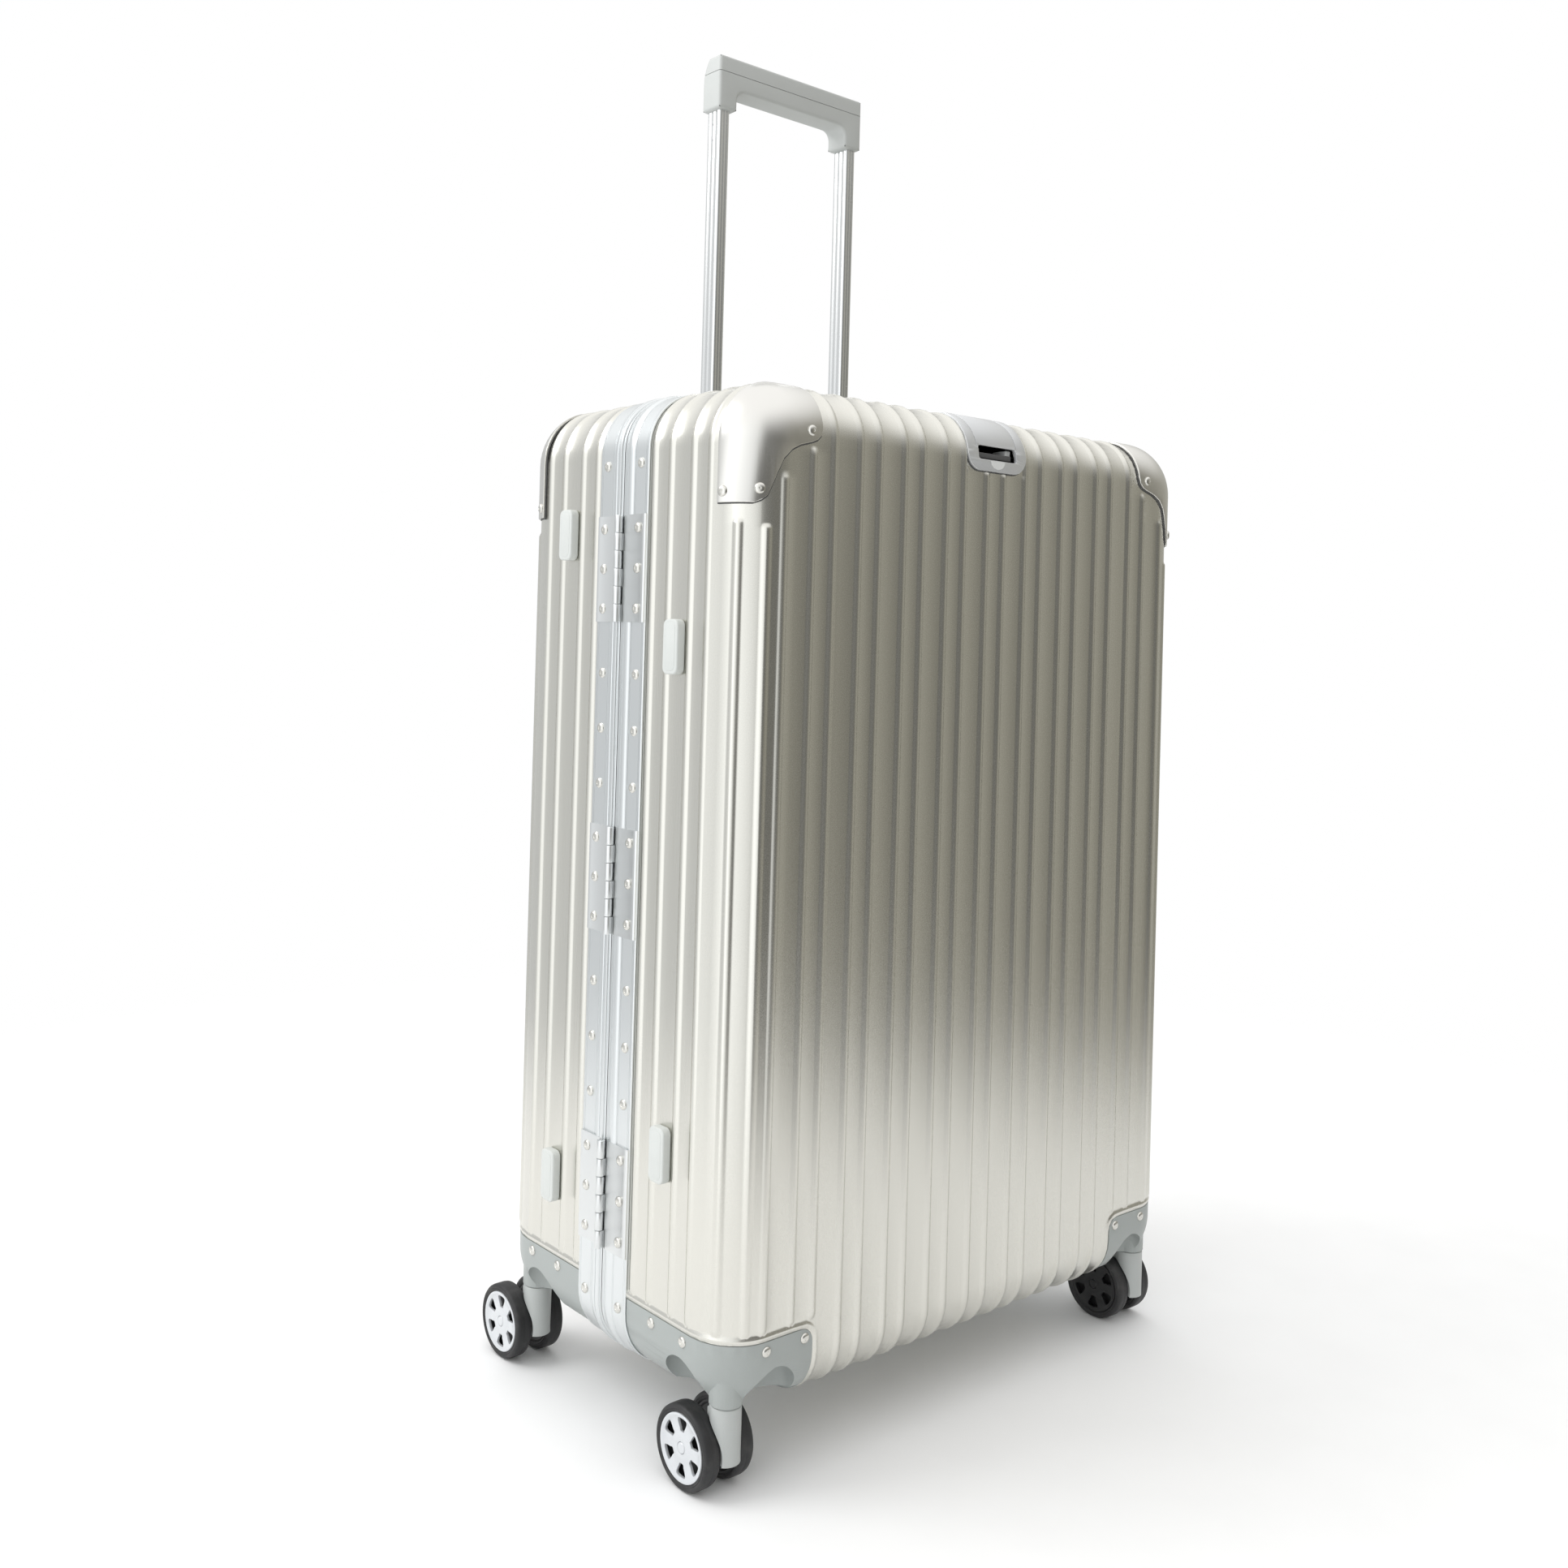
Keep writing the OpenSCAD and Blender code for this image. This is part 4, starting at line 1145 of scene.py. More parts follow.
    def panel_bead(self, x: float, y: float, z: float) -> float:
        """Distance of a point of the panel, top or bottom to the nearest bead."""
        best = 1.0
        for centre in self.beads:
            across = abs(x - centre)
            if across > 2 * self.foot:
                continue
            wraps = abs(centre) < self.cut_x
            over = max(0.0, 36 * MM - y)
            if not wraps:
                over = max(over, self.cut_z + 8.5 * MM - z)
            if abs(centre) > 190 * MM:
                over = max(over, z - 734 * MM)
            if self.half is Half.LID and abs(x) < 34.5 * MM and z > 737 * MM and y > 74 * MM:
                over = 1.0
            best = min(best, math.hypot(across, over))
        if z > FORM.top - MM:
            for centre in self.side_beads:
                best = min(best, math.hypot(y - centre, max(0.0, 191 * MM - abs(x))))
        return best

    def side_bead(self, y: float, z: float, turn: float) -> float:
        """Distance of a point of the narrow side or its bend to the nearest bead."""
        best = 1.0
        stop = max(0.0, self.cut_z + 8.5 * MM - z)
        for degrees, top in zip(self.bend_degrees, self.bend_tops):
            if turn > 0:
                across = FORM.edge * abs(turn - math.radians(90 - degrees))
                best = min(best, math.hypot(across, max(stop, z - top + 4 * MM)))
        for centre in self.side_beads:
            best = min(best, math.hypot(y - centre, stop))
        return best

    def lip(self, x: float, y: float, z: float) -> float:
        """Distance of a point to the edge of the cut-out for the wheel housing."""
        if y < self.cut_y:
            return 1.0
        soft = 11 * MM
        dx, dz = self.cut_x + soft - abs(x), z - self.cut_z + soft
        return math.hypot(max(dx, 0.0), max(dz, 0.0)) - soft if max(dx, dz) > 0 else 0.0

    @staticmethod
    def store(piece: Piece, points: list) -> None:
        """Writes the bead and lip distances and the UV map."""
        values = np.array(points, dtype=np.float32)
        for name, column in (("bead_distance", 3), ("lip_distance", 4)):
            layer = piece.data.attributes.new(name, "FLOAT", "POINT")
            layer.data.foreach_set("value", values[:, column].copy())
        uv = piece.data.uv_layers.new(name="UVMap")
        corners = np.array([loop.vertex_index for loop in piece.data.loops])
        uv.data.foreach_set("uv", values[corners][:, 5:7].ravel().copy())

    def cutout(self, side: Side) -> Piece:
        """Tool that opens the corner for a wheel housing."""
        f = FORM
        outline = [(x + self.cut_x + CUT_SIZE / 2, y + self.cut_z - CUT_SIZE / 2)
                   for x, y in rounded_outline(CUT_SIZE, CUT_SIZE, 11 * MM, 8)]
        tool = prism("cutout", outline, -2 * f.depth, -self.cut_y, along_y(), Palette.SHEET)
        return moved(tool, Matrix.Diagonal((side.value, 1, 1, 1)))

    def make_room(self, piece: Piece) -> None:
        """Opens the sheet for the trolley's bezel or for the bag holder's strap."""
        if self.half is Half.REAR:
            outline = [(x, y + TROLLEY_Y) for x, y in rounded_outline(190.8 * MM, 32.8 * MM, 8.3 * MM)]
            carve(piece, prism("room", outline, FORM.top - 40 * MM, FORM.top + 20 * MM, along_z(),
                               Palette.SHEET))
        else:
            outline = [(x, z + 752.5 * MM) for x, z in rounded_outline(47 * MM, 13 * MM, 3 * MM)]
            carve(piece, prism("room", outline, -170 * MM, -110 * MM, along_y(), Palette.SHEET))


# ---- frame, rivets, hinges ----


@dataclass(frozen=True)
class HalfFrame:
    """Extruded strip along the open edge of one half."""

    half: Half
    width: float = 31 * MM
    rim: float = 12 * MM
    inner: float = 6 * MM
    gap: float = 0.5 * MM

    def build(self) -> Piece:
        """Sweeps the strip's section round the case.

        Returns:
            The frame in the case's frame.
        """
        outer = self.rear_section() if self.half is Half.REAR else self.lid_section()
        section = [(-self.inner + 0.4 * MM, self.gap), *[(o * MM, y * MM) for o, y in outer],
                   (0.2 * MM, self.width), (0.05 * MM, self.rim), (-self.inner, self.rim),
                   (-self.inner, self.gap + 0.4 * MM)]
        piece = FORM.ring(f"{self.half.word}_edge_strip", section, Palette.EXTRUSION)
        return smooth(moved(piece, half_place(self.half)), 30)

    @staticmethod
    def grooves(starts: Sequence[float], width: float = 0.5, depth: float = 0.3) -> Outline:
        """Fine grooves in the flange, as offsets out and from the parting plane in millimetres."""
        points = []
        for start in starts:
            points += [(1.6, start), (1.6 - depth, start + width * 0.3),
                       (1.6 - depth, start + width * 0.7), (1.6, start + width)]
        return points

    def rear_section(self) -> Outline:
        """Outer section of the trolley half: two narrow bands with a groove between them."""
        return [(1.2, 0.5), (1.6, 0.9), (1.6, 2.7), (2.4, 3.0), (2.8, 3.4), (2.9, 4.2), (2.9, 6.2),
                (2.6, 6.6),
                (2.1, 6.8), (2.1, 7.3), (2.6, 7.5), (2.9, 7.9), (2.9, 10.0), (2.7, 10.7), (2.2, 11.0),
                (1.6, 11.1),
                *self.grooves((12.4, 14.2, 27.6, 29.0)), (1.6, 30.5), (1.2, 31.0)]

    def lid_section(self) -> Outline:
        """Outer section of the lid: one broad rounded band beside the parting plane."""
        band = [(1.7 + 1.2 * math.sin(math.pi * i / 8) ** 0.7, 5.0 + i) for i in range(9)]
        return [(1.2, 0.5), (1.6, 0.9), *self.grooves((2.0, 3.4), 0.6, 0.4), (1.6, 4.8), *band,
                *self.grooves((13.8, 15.0, 27.8, 29.2)), (1.6, 30.5), (1.2, 31.0)]


@dataclass(frozen=True)
class RivetSet:
    """Every rivet of one half."""

    half: Half
    diameter: float = 8 * MM
    height: float = 1.8 * MM
    row: float = 21.7 * MM
    hinge_middle: float = 415 * MM

    def head(self) -> Piece:
        """One drawn head with a flat rim and a dimple from the mandrel."""
        r, h = self.diameter / 2, self.height
        profile = [(r * 0.96, -0.3 * MM), (r, 0.1 * MM), (r * 0.97, h * 0.28), (r * 0.86, h * 0.6),
                   (r * 0.66, h * 0.86),
                   (r * 0.42, h * 0.98), (r * 0.26, h), (r * 0.2, h * 0.86), (r * 0.06, h * 0.84)]
        return lathe("rivet_head", profile, Matrix.Identity(4), Palette.RIVET, 18)

    def points(self) -> list[tuple[Point, Point]]:
        """Place and facing of every head in the half's own frame."""
        f, row = FORM, self.row
        out = f.half_width + FLANGE
        found: list[tuple[Point, Point]] = []
        for k in (-1, 0, 1):
            for j in (-1, 0, 1):
                z = self.hinge_middle + k * 236 * MM + j * 30.4 * MM
                found.append(((-out - 1.5 * MM, row, z), (-1, 0, 0)))
        for s in (-1, 1):
            for j in (-1, 0, 1):
                z = self.hinge_middle + s * 118 * MM - 4 * MM + j * 42.3 * MM
                found.append(((-out, row, z), (-1, 0, 0)))
            found.append(((-out, row, self.hinge_middle + s * 315 * MM), (-1, 0, 0)))
            for d in (40, 118, 225, 270, 315):
                found.append(((out, row, f.middle + s * d * MM), (1, 0, 0)))
            for d in (58, 122, 180):
                found.append(((s * d * MM, row, f.top + FLANGE), (0, 0, 1)))
                found.append(((s * d * MM, row, f.bottom - FLANGE), (0, 0, -1)))
            for y in (62, 99):
                found.append(((s * (f.half_width + 0.4 * MM), y * MM, 103 * MM), (s, 0, 0)))
            for x in (38, 74):
                found.append(((s * (f.half_width - x * MM), f.depth + 0.4 * MM, 103 * MM), (0, 1, 0)))
            found.append(((s * (f.half_width - 56 * MM), f.depth + 2.4 * MM, f.top - 35 * MM), (0, 1, 0)))
            found.append(((s * 255.9 * MM, 118 * MM, f.top - 81 * MM), (s * 0.962, 0.272, 0)))
            found.append(((s * 240.2 * MM, 140.1 * MM, f.top - 79 * MM), (s * 0.574, 0.819, 0)))
        return found

    def build(self) -> Piece:
        """Sets the heads on the half.

        Returns:
            All heads as one piece in the case's frame.
        """
        piece = scatter(f"{self.half.word}_rivet_heads", self.points(), self.head(), Palette.RIVET)
        return moved(piece, half_place(self.half))


@dataclass(frozen=True)
class HingeRow:
    """The three rolled hinges on the left narrow side."""

    height: float = 81 * MM
    levels: tuple[float, ...] = (179 * MM, 415 * MM, 651 * MM)
    axis_x: float = -260.5 * MM
    sheet: float = 1.5 * MM
    knuckle: float = 3.2 * MM
    knuckles: int = 6

    def leaf(self, half: Half, level: float) -> Piece:
        """One leaf with its rolled knuckles, which alternate with the other leaf's."""
        s = half.value
        pitch = self.height / self.knuckles
        face = -256.6 * MM
        first = 0 if half is Half.REAR else 1
        plate = [(face, 3.9 * MM), (face - self.sheet, 3.9 * MM), (face - self.sheet, 26.4 * MM),
                 (face - self.sheet - 0.45 * MM, 27.2 * MM), (face - self.sheet - 0.45 * MM, 29.8 * MM),
                 (face - self.sheet * 0.8, 30.7 * MM), (face, 30.8 * MM)]
        pieces = [self.bar(plate, -self.height / 2, self.height / 2)]
        turns = [math.radians(a) for a in range(-90, 181, 18)]
        rolled = [(self.axis_x + self.knuckle * math.sin(t), self.knuckle * math.cos(t)) for t in turns]
        rolled = rolled[::-1] + [(face, 0.0), (face, 4.4 * MM), (face - self.sheet, 4.4 * MM)]
        ring = [(self.axis_x + self.knuckle * math.cos(math.radians(a)),
                 self.knuckle * math.sin(math.radians(a)))
                for a in range(0, 360, 15)]
        web = [(face - self.sheet, 0.2 * MM), (face - self.sheet, 4.6 * MM), (face, 4.6 * MM),
               (face, 0.2 * MM)]
        for index in range(first, self.knuckles, 2):
            high = self.height / 2 - index * pitch - 0.15 * MM
            pieces.append(soften(self.bar(ring, high - pitch + 0.3 * MM, high), 0.3 * MM, 2, 60))
            pieces.append(self.bar(web, high - pitch + 0.3 * MM, high))
        leaf = smooth(join("leaf", pieces))
        return moved(leaf, Matrix.Translation((0, PARTING_Y, level)) @ Matrix.Diagonal((1, s, 1, 1)))

    @staticmethod
    def bar(outline: Outline, low: float, high: float) -> Piece:
        """Extrudes a section along Z and turns its faces outwards."""
        return face_outwards(prism("bar", outline, low, high, along_z(), Palette.HINGE))

    def build(self) -> None:
        """Makes both rows of leaves and the pins."""
        for half in Half:
            row = join(f"hinge_plates_{half.word}", [self.leaf(half, level) for level in self.levels])
            place(smooth(row), half.body, "hinge_metal", f"hinge_leaves_{half.word}")
        pins = []
        for level in self.levels:
            r, h = 1.5 * MM, self.height / 2
            profile = [(AXIS, -h - 0.1 * MM), (r * 0.8, -h - 0.1 * MM), (r, -h + 0.3 * MM),
                       (r, h - 0.3 * MM), (r * 0.8, h + 0.1 * MM), (AXIS, h + 0.1 * MM)]
            pins.append(lathe("pin", profile, along_z(self.axis_x, PARTING_Y, level), Palette.STEEL, 24))
        place(join("hinge_wires", pins), "rear_half", "pin_steel", "hinge_pins")


# ---- corner guards and wheel housings ----


@dataclass(frozen=True)
class CornerGuards:
    """Formed caps over the two upper corners of a half."""

    half: Half
    lift: float = 2.4 * MM
    depth: float = 32 * MM
    drop: tuple[tuple[float, float], ...] = (
        (16, 87), (20, 83.5), (23, 76), (26, 68), (31, 57), (38, 50), (46, 46), (57, 43), (62, 41),
        (65.5, 37.5), (67, 32))

    def outline(self, grow: float = 0.0) -> Outline:
        """Front outline of the right cap, grown by some millimetres: X and Z, counter-clockwise."""
        f = FORM
        edge = [(f.half_width - (a + grow) * MM, f.top - (d + grow) * MM) for a, d in self.drop]
        low = f.top - (89 + grow) * MM
        return [(f.half_width + 9 * MM, low), (f.half_width + 9 * MM, f.top + 9 * MM),
                (f.half_width - (67 + grow) * MM, f.top + 9 * MM), *edge[::-1], (f.half_width - 12 * MM, low)]

    def build(self) -> Piece:
        """Makes both caps and the dark band of painted shade round their edges.

        Returns:
            The caps in the case's frame.
        """
        caps = []
        for side in Side:
            cap = FORM.solid("cap", -self.lift, 60 * MM, Palette.GUARD, 14)
            carve(cap, FORM.solid("core", 0.05 * MM, 40 * MM, Palette.GUARD, 14))
            reach = FORM.depth - self.depth
            tool = prism("trim", self.outline(), -FORM.depth - 20 * MM, -reach, along_y(), Palette.GUARD)
            carve(cap, face_outwards(moved(tool, Matrix.Diagonal((side.value, 1, 1, 1)))), "INTERSECT")
            caps.append(soften(cap, 0.9 * MM, 3, 50))
            # Near-black band 0.9 mm wider than each cap, sitting on the sheet: painted shade along the cap's
            # foot.
            line = FORM.solid("line", -0.7 * MM, 60 * MM, Palette.DARK, 14)
            carve(line, FORM.solid("core", -0.1 * MM, 40 * MM, Palette.DARK, 14))
            tool = prism("trim", self.outline(0.9), -FORM.depth - 20 * MM, -reach + 0.9 * MM, along_y(),
                         Palette.DARK)
            caps.append(carve(line, face_outwards(moved(tool, Matrix.Diagonal((side.value, 1, 1, 1)))),
                              "INTERSECT"))
        piece = join(f"{self.half.word}_corner_caps", caps)
        modify(piece, "WEIGHTED_NORMAL", keep_sharp=True)
        return moved(piece, half_place(self.half))


@dataclass(frozen=True)
class WheelHousings:
    """Moulded corners that carry the casters of one half."""

    half: Half
    lift: float = 0.4 * MM
    wall: float = 4 * MM
    air: float = 0.3 * MM
    well_top: float = 64.6 * MM
    stem: tuple[float, float] = (234 * MM, 123 * MM)
    reach: float = 59.3 * MM
    boss: float = 12 * MM
    king: float = 6.05 * MM

    def tool(self, name: str, low: Point, high: Point) -> Piece:
        """Box between two corners."""
        outline = [(low[0], low[1]), (high[0], low[1]), (high[0], high[1]), (low[0], high[1])]
        return prism(name, outline, low[2], high[2], along_z(), Palette.HOUSING)

    def zone(self) -> Piece:
        """Rounded corner region of the right housing."""
        cut = RibbedShell(self.half)
        outline = [(x + cut.cut_x + self.air + CUT_SIZE / 2, y + cut.cut_z - self.air - CUT_SIZE / 2)
                   for x, y in rounded_outline(CUT_SIZE, CUT_SIZE, 10.7 * MM, 8)]
        return prism("zone", outline, -2 * FORM.depth, -cut.cut_y - self.air, along_y(), Palette.HOUSING)

    def one(self) -> Piece:
        """The right housing in the half's own frame."""
        x, y = self.stem
        body = FORM.solid("housing", -self.lift, 10 * MM, Palette.HOUSING, 14)
        carve(body, self.zone(), "INTERSECT")
        core = FORM.solid("core", self.wall, 0, Palette.HOUSING, 14)
        top = self.well_top + self.wall
        carve(core, self.tool("roof", (x - self.reach - self.wall, y - self.reach - self.wall, 0),
                              (1, 1, top)))
        carve(core, lathe("boss", [(AXIS, 0.06), (self.boss + 3 * MM, 0.06), (self.boss + 3 * MM, 0.094),
                                   (AXIS, 0.094)], along_z(x, y), Palette.HOUSING, 48))
        for grown in self.scoops(2.6 * MM):
            carve(core, grown)
        carve(body, core)
        carve(body, self.tool("well", (x - self.reach, y - self.reach, 0), (1, 1, self.well_top)))
        for scoop in self.scoops(0):
            carve(body, scoop)
        carve(body, self.neck(), "UNION")
        carve(body, lathe("bore", [(AXIS, 0.05), (self.king, 0.05), (self.king, 0.0925), (AXIS, 0.0925)],
                          along_z(x, y), Palette.HOUSING, 48))
        return soften(body, 0.7 * MM, 3, 35)

    def neck(self) -> Piece:
        """Round neck that comes out of the corner above the caster."""
        profile = [(AXIS, 64.1 * MM), (self.boss - 0.6 * MM, 64.1 * MM), (self.boss, 64.7 * MM),
                   (self.boss, 79 * MM), (self.boss + 0.5 * MM, 82 * MM), (self.boss + 0.5 * MM, 84 * MM),
                   (AXIS, 88 * MM)]
        return lathe("neck", profile, along_z(*self.stem), Palette.HOUSING, 72)

    def scoops(self, grow: float) -> list[Piece]:
        """Tools for the arched hollows in the lower rim, one on the front and one on the narrow side.

        Args:
            grow: How much larger each tool is made.

        Returns:
            Both tools.
        """
        tools = []
        for where, turn in (((206 * MM, FORM.depth - 8 * MM, 64 * MM), 0.0),
                            ((FORM.half_width - 8 * MM, 93 * MM, 64 * MM), 90.0)):
            wide, deep, tall = 22 * MM + grow, 17 * MM + grow, 29.5 * MM + grow
            half_ring = np.linspace(-math.pi / 2, math.pi / 2, 20)
            profile = [(max(math.cos(a), 0.004), math.sin(a)) for a in half_ring]
            at = Matrix.Translation(where) @ Matrix.Rotation(math.radians(turn), 4, "Z")
            tools.append(face_outwards(lathe("scoop", profile, at @ Matrix.Diagonal((wide, deep, tall, 1)),
                                             Palette.HOUSING, 56)))
        return tools

    def build(self) -> Piece:
        """Makes both housings.

        Returns:
            The housings in the case's frame.
        """
        right = self.one()
        left = moved(duplicate(right), Matrix.Diagonal((-1, 1, 1, 1)))
        piece = join(f"{self.half.word}_caster_corners", [right, left])
        modify(piece, "WEIGHTED_NORMAL", keep_sharp=True)
        return moved(piece, half_place(self.half))


# ---- casters ----


@dataclass(frozen=True)
class Caster:
    """One swivelling twin-wheel caster, built at its own swivel axis."""

    half: Half
    side: Side
    trail: float = 22.3 * MM
    radius: float = 29.4 * MM
    width: float = 14 * MM
    apart: float = 15 * MM
    rim: float = 23.7 * MM
    fork_width: float = 14.6 * MM
    windows: int = 6

    @property
    def name(self) -> str:
        """Word of this caster in the names of bodies and nodes."""
        return f"{self.half.word}_{self.side.name.lower()}"

    @property
    def origin(self) -> Vector:
        """Swivel axis on the floor."""
        place_ = joint_place(f"{self.name}_swivel")
        return Vector((place_.x, place_.y, 0))

    def wheel_place(self, way: int) -> Matrix:
        """Frame of a wheel whose local Z points away from the fork; way is the sign of X."""
        turn = Matrix(((0, 0, way, 0), (1, 0, 0, 0), (0, way, 0, 0), (0, 0, 0, 1)))
        return Matrix.Translation(self.origin + Vector((way * self.apart, self.trail, self.radius))) @ turn

    def tyre(self, way: int) -> Piece:
        """Crowned tyre with a mould line and stepped shoulders."""
        r, w, i = self.radius, self.width / 2, self.rim + 0.1 * MM
        side = [(i, w - 1.0 * MM), (i + 0.9 * MM, w - 0.1 * MM), (i + 1.6 * MM, w),
                (i + 2.0 * MM, w - 0.3 * MM),
                (i + 2.4 * MM, w), (r - 2.2 * MM, w), (r - 1.1 * MM, w - 0.4 * MM),
                (r - 0.35 * MM, w - 1.4 * MM),
                (r - 0.06 * MM, w - 3.0 * MM), (r, 0.5 * MM), (r - 0.12 * MM, 0.0)]
        profile = side + [(a, -b) for a, b in side[-2::-1]]
        return lathe("tyre", profile, self.wheel_place(way), Palette.TYRE, 72, closed=True)

    def disc(self, way: int, outer: bool) -> Piece:
        """Wheel disc with six keystone windows, a dark well behind them and a hub cap."""
        r, w = self.rim, self.width / 2
        finish = Palette.RIM if outer else Palette.WEB_PLASTIC
        face = [(4.2 * MM, w - 3.4 * MM), (4.2 * MM, w - 0.8 * MM), (8.6 * MM, w - 0.8 * MM),
                (10.4 * MM, w - 1.5 * MM),
                (20.6 * MM, w - 1.1 * MM), (21.6 * MM, w - 0.3 * MM), (22.6 * MM, w),
                (r - 0.2 * MM, w - 0.2 * MM),
                (r, w - 0.8 * MM), (r, w - 3.4 * MM)]
        disc = lathe("disc", face, Matrix.Identity(4), finish, 72, closed=True)
        side = [(11.0, 1.5), (11.5, 2.3), (13.2, 2.7), (15.2, 3.9), (17.6, 5.0), (19.2, 5.1), (20.0, 4.2),
                (20.4, 1.8)]
        window = [(a * MM, -b * MM) for a, b in side] + [(a * MM, b * MM) for a, b in side[::-1]]
        for index in range(self.windows):
            turn = Matrix.Rotation(math.tau * (index + 0.5) / self.windows, 4, "Z")
            carve(disc, prism("window", window, -20 * MM, 20 * MM, turn, finish))
        soften(disc, 0.45 * MM, 2, 40)
        well = [(4.2 * MM, -w + 1.2 * MM), (8.5 * MM, -w + 1.2 * MM), (9.5 * MM, -w + 2.4 * MM),
                (21.0 * MM, -w + 2.4 * MM),
                (22.2 * MM, -w + 1.4 * MM), (r, -w + 1.4 * MM), (r, w - 3.0 * MM), (22.0 * MM, w - 3.0 * MM),
                (21.6 * MM, 0.0), (9.0 * MM, 0.0), (8.8 * MM, w - 2.5 * MM), (4.2 * MM, w - 2.5 * MM)]
        back = lathe("well", well, Matrix.Identity(4), Palette.WEB_PLASTIC, 72, closed=True)
        cap = [(AXIS, w - 2.6 * MM), (3.9 * MM, w - 2.6 * MM), (3.9 * MM, w - 0.9 * MM),
               (3.4 * MM, w - 0.4 * MM),
               (AXIS, w - 0.3 * MM)]
        hub = lathe("hub", cap, Matrix.Identity(4), finish, 36)
        return moved(join("wheel_disc", [disc, back, hub]), self.wheel_place(way))

    def fork(self) -> Piece:
        """Collar, flattened column, arms and the king pin above them."""
        half = self.fork_width / 2
        hub = [(self.trail + 9 * MM * math.cos(a), 29.4 * MM + 9 * MM * math.sin(a))
               for a in np.linspace(math.radians(-100), math.radians(58), 14)]
        outline = [(-8.2 * MM, 59.4 * MM), (-8.2 * MM, 30 * MM), (-7.4 * MM, 25.4 * MM), (-5 * MM, 24.4 * MM),
                   *hub, (21 * MM, 41 * MM), (14.4 * MM, 49 * MM), (11.2 * MM, 54 * MM),
                   (11.2 * MM, 59.4 * MM)]
        column = prism("column", outline, -half, half, Matrix.Translation(self.origin) @ along_x(),
                       Palette.FORK)
        face_outwards(column)
        for way in (-1, 1):
            hollow = mm((-7, 30), (13, 27), (12, 37), (6, 50), (-7, 53))
            tool = prism("hollow", hollow, -0.9 * MM, 0.9 * MM,
                         Matrix.Translation(self.origin) @ along_x(way * half), Palette.FORK)
            carve(column, face_outwards(tool))
        soften(column, 1.4 * MM, 4, 35)
        profile = mm((0.1, 24.2), (11.5, 24.2), (11.5, 63.0), (11.0, 63.6), (5.95, 63.7), (5.95, 90.6),
                     (5.2, 91), (0.1, 91))
        post = lathe("post", profile, Matrix.Translation(self.origin), Palette.FORK, 72)
        room = mm((0.1, 7.35), (30.3, 7.35), (30.3, 26), (0.1, 26))
        for way in (-1, 1):
            carve(post, lathe("wheel_room", room,
                              self.wheel_place(way) @ Matrix.Translation((0, 0, -self.apart)),
                              Palette.FORK, 72))
        return join(f"{self.name}_yoke", [column, soften(post, 0.6 * MM, 3, 35)])

    def build(self) -> None:
        """Makes the fork, the axle and both wheels."""
        n = self.name
        place(self.fork(), f"{n}_caster", "fork_plastic", f"{n}_fork")
        at = Matrix.Translation(self.origin + Vector((0, self.trail, self.radius))) @ along_x()
        profile = mm((0.1, -19.9), (3.4, -19.9), (3.95, -19.3), (3.95, 19.3), (3.4, 19.9), (0.1, 19.9))
        place(lathe(f"{n}_wheel_shaft", profile, at, Palette.STEEL, 32), f"{n}_caster", "pin_steel",
              f"{n}_axle")
        for word, way in (("outer", self.side.value), ("inner", -self.side.value)):
            body = f"{n}_{word}_wheel"
            tyre = self.tyre(way)
            tyre.name = f"{n}_{word}_tread"
            place(tyre, body, "tyre_rubber", f"{n}_tyre_{word}")
            disc = self.disc(way, word == "outer")
            disc.name = f"{n}_{word}_disc"
            place(disc, body, "rim_plastic", f"{n}_rim_{word}")


# ---- trolley ----


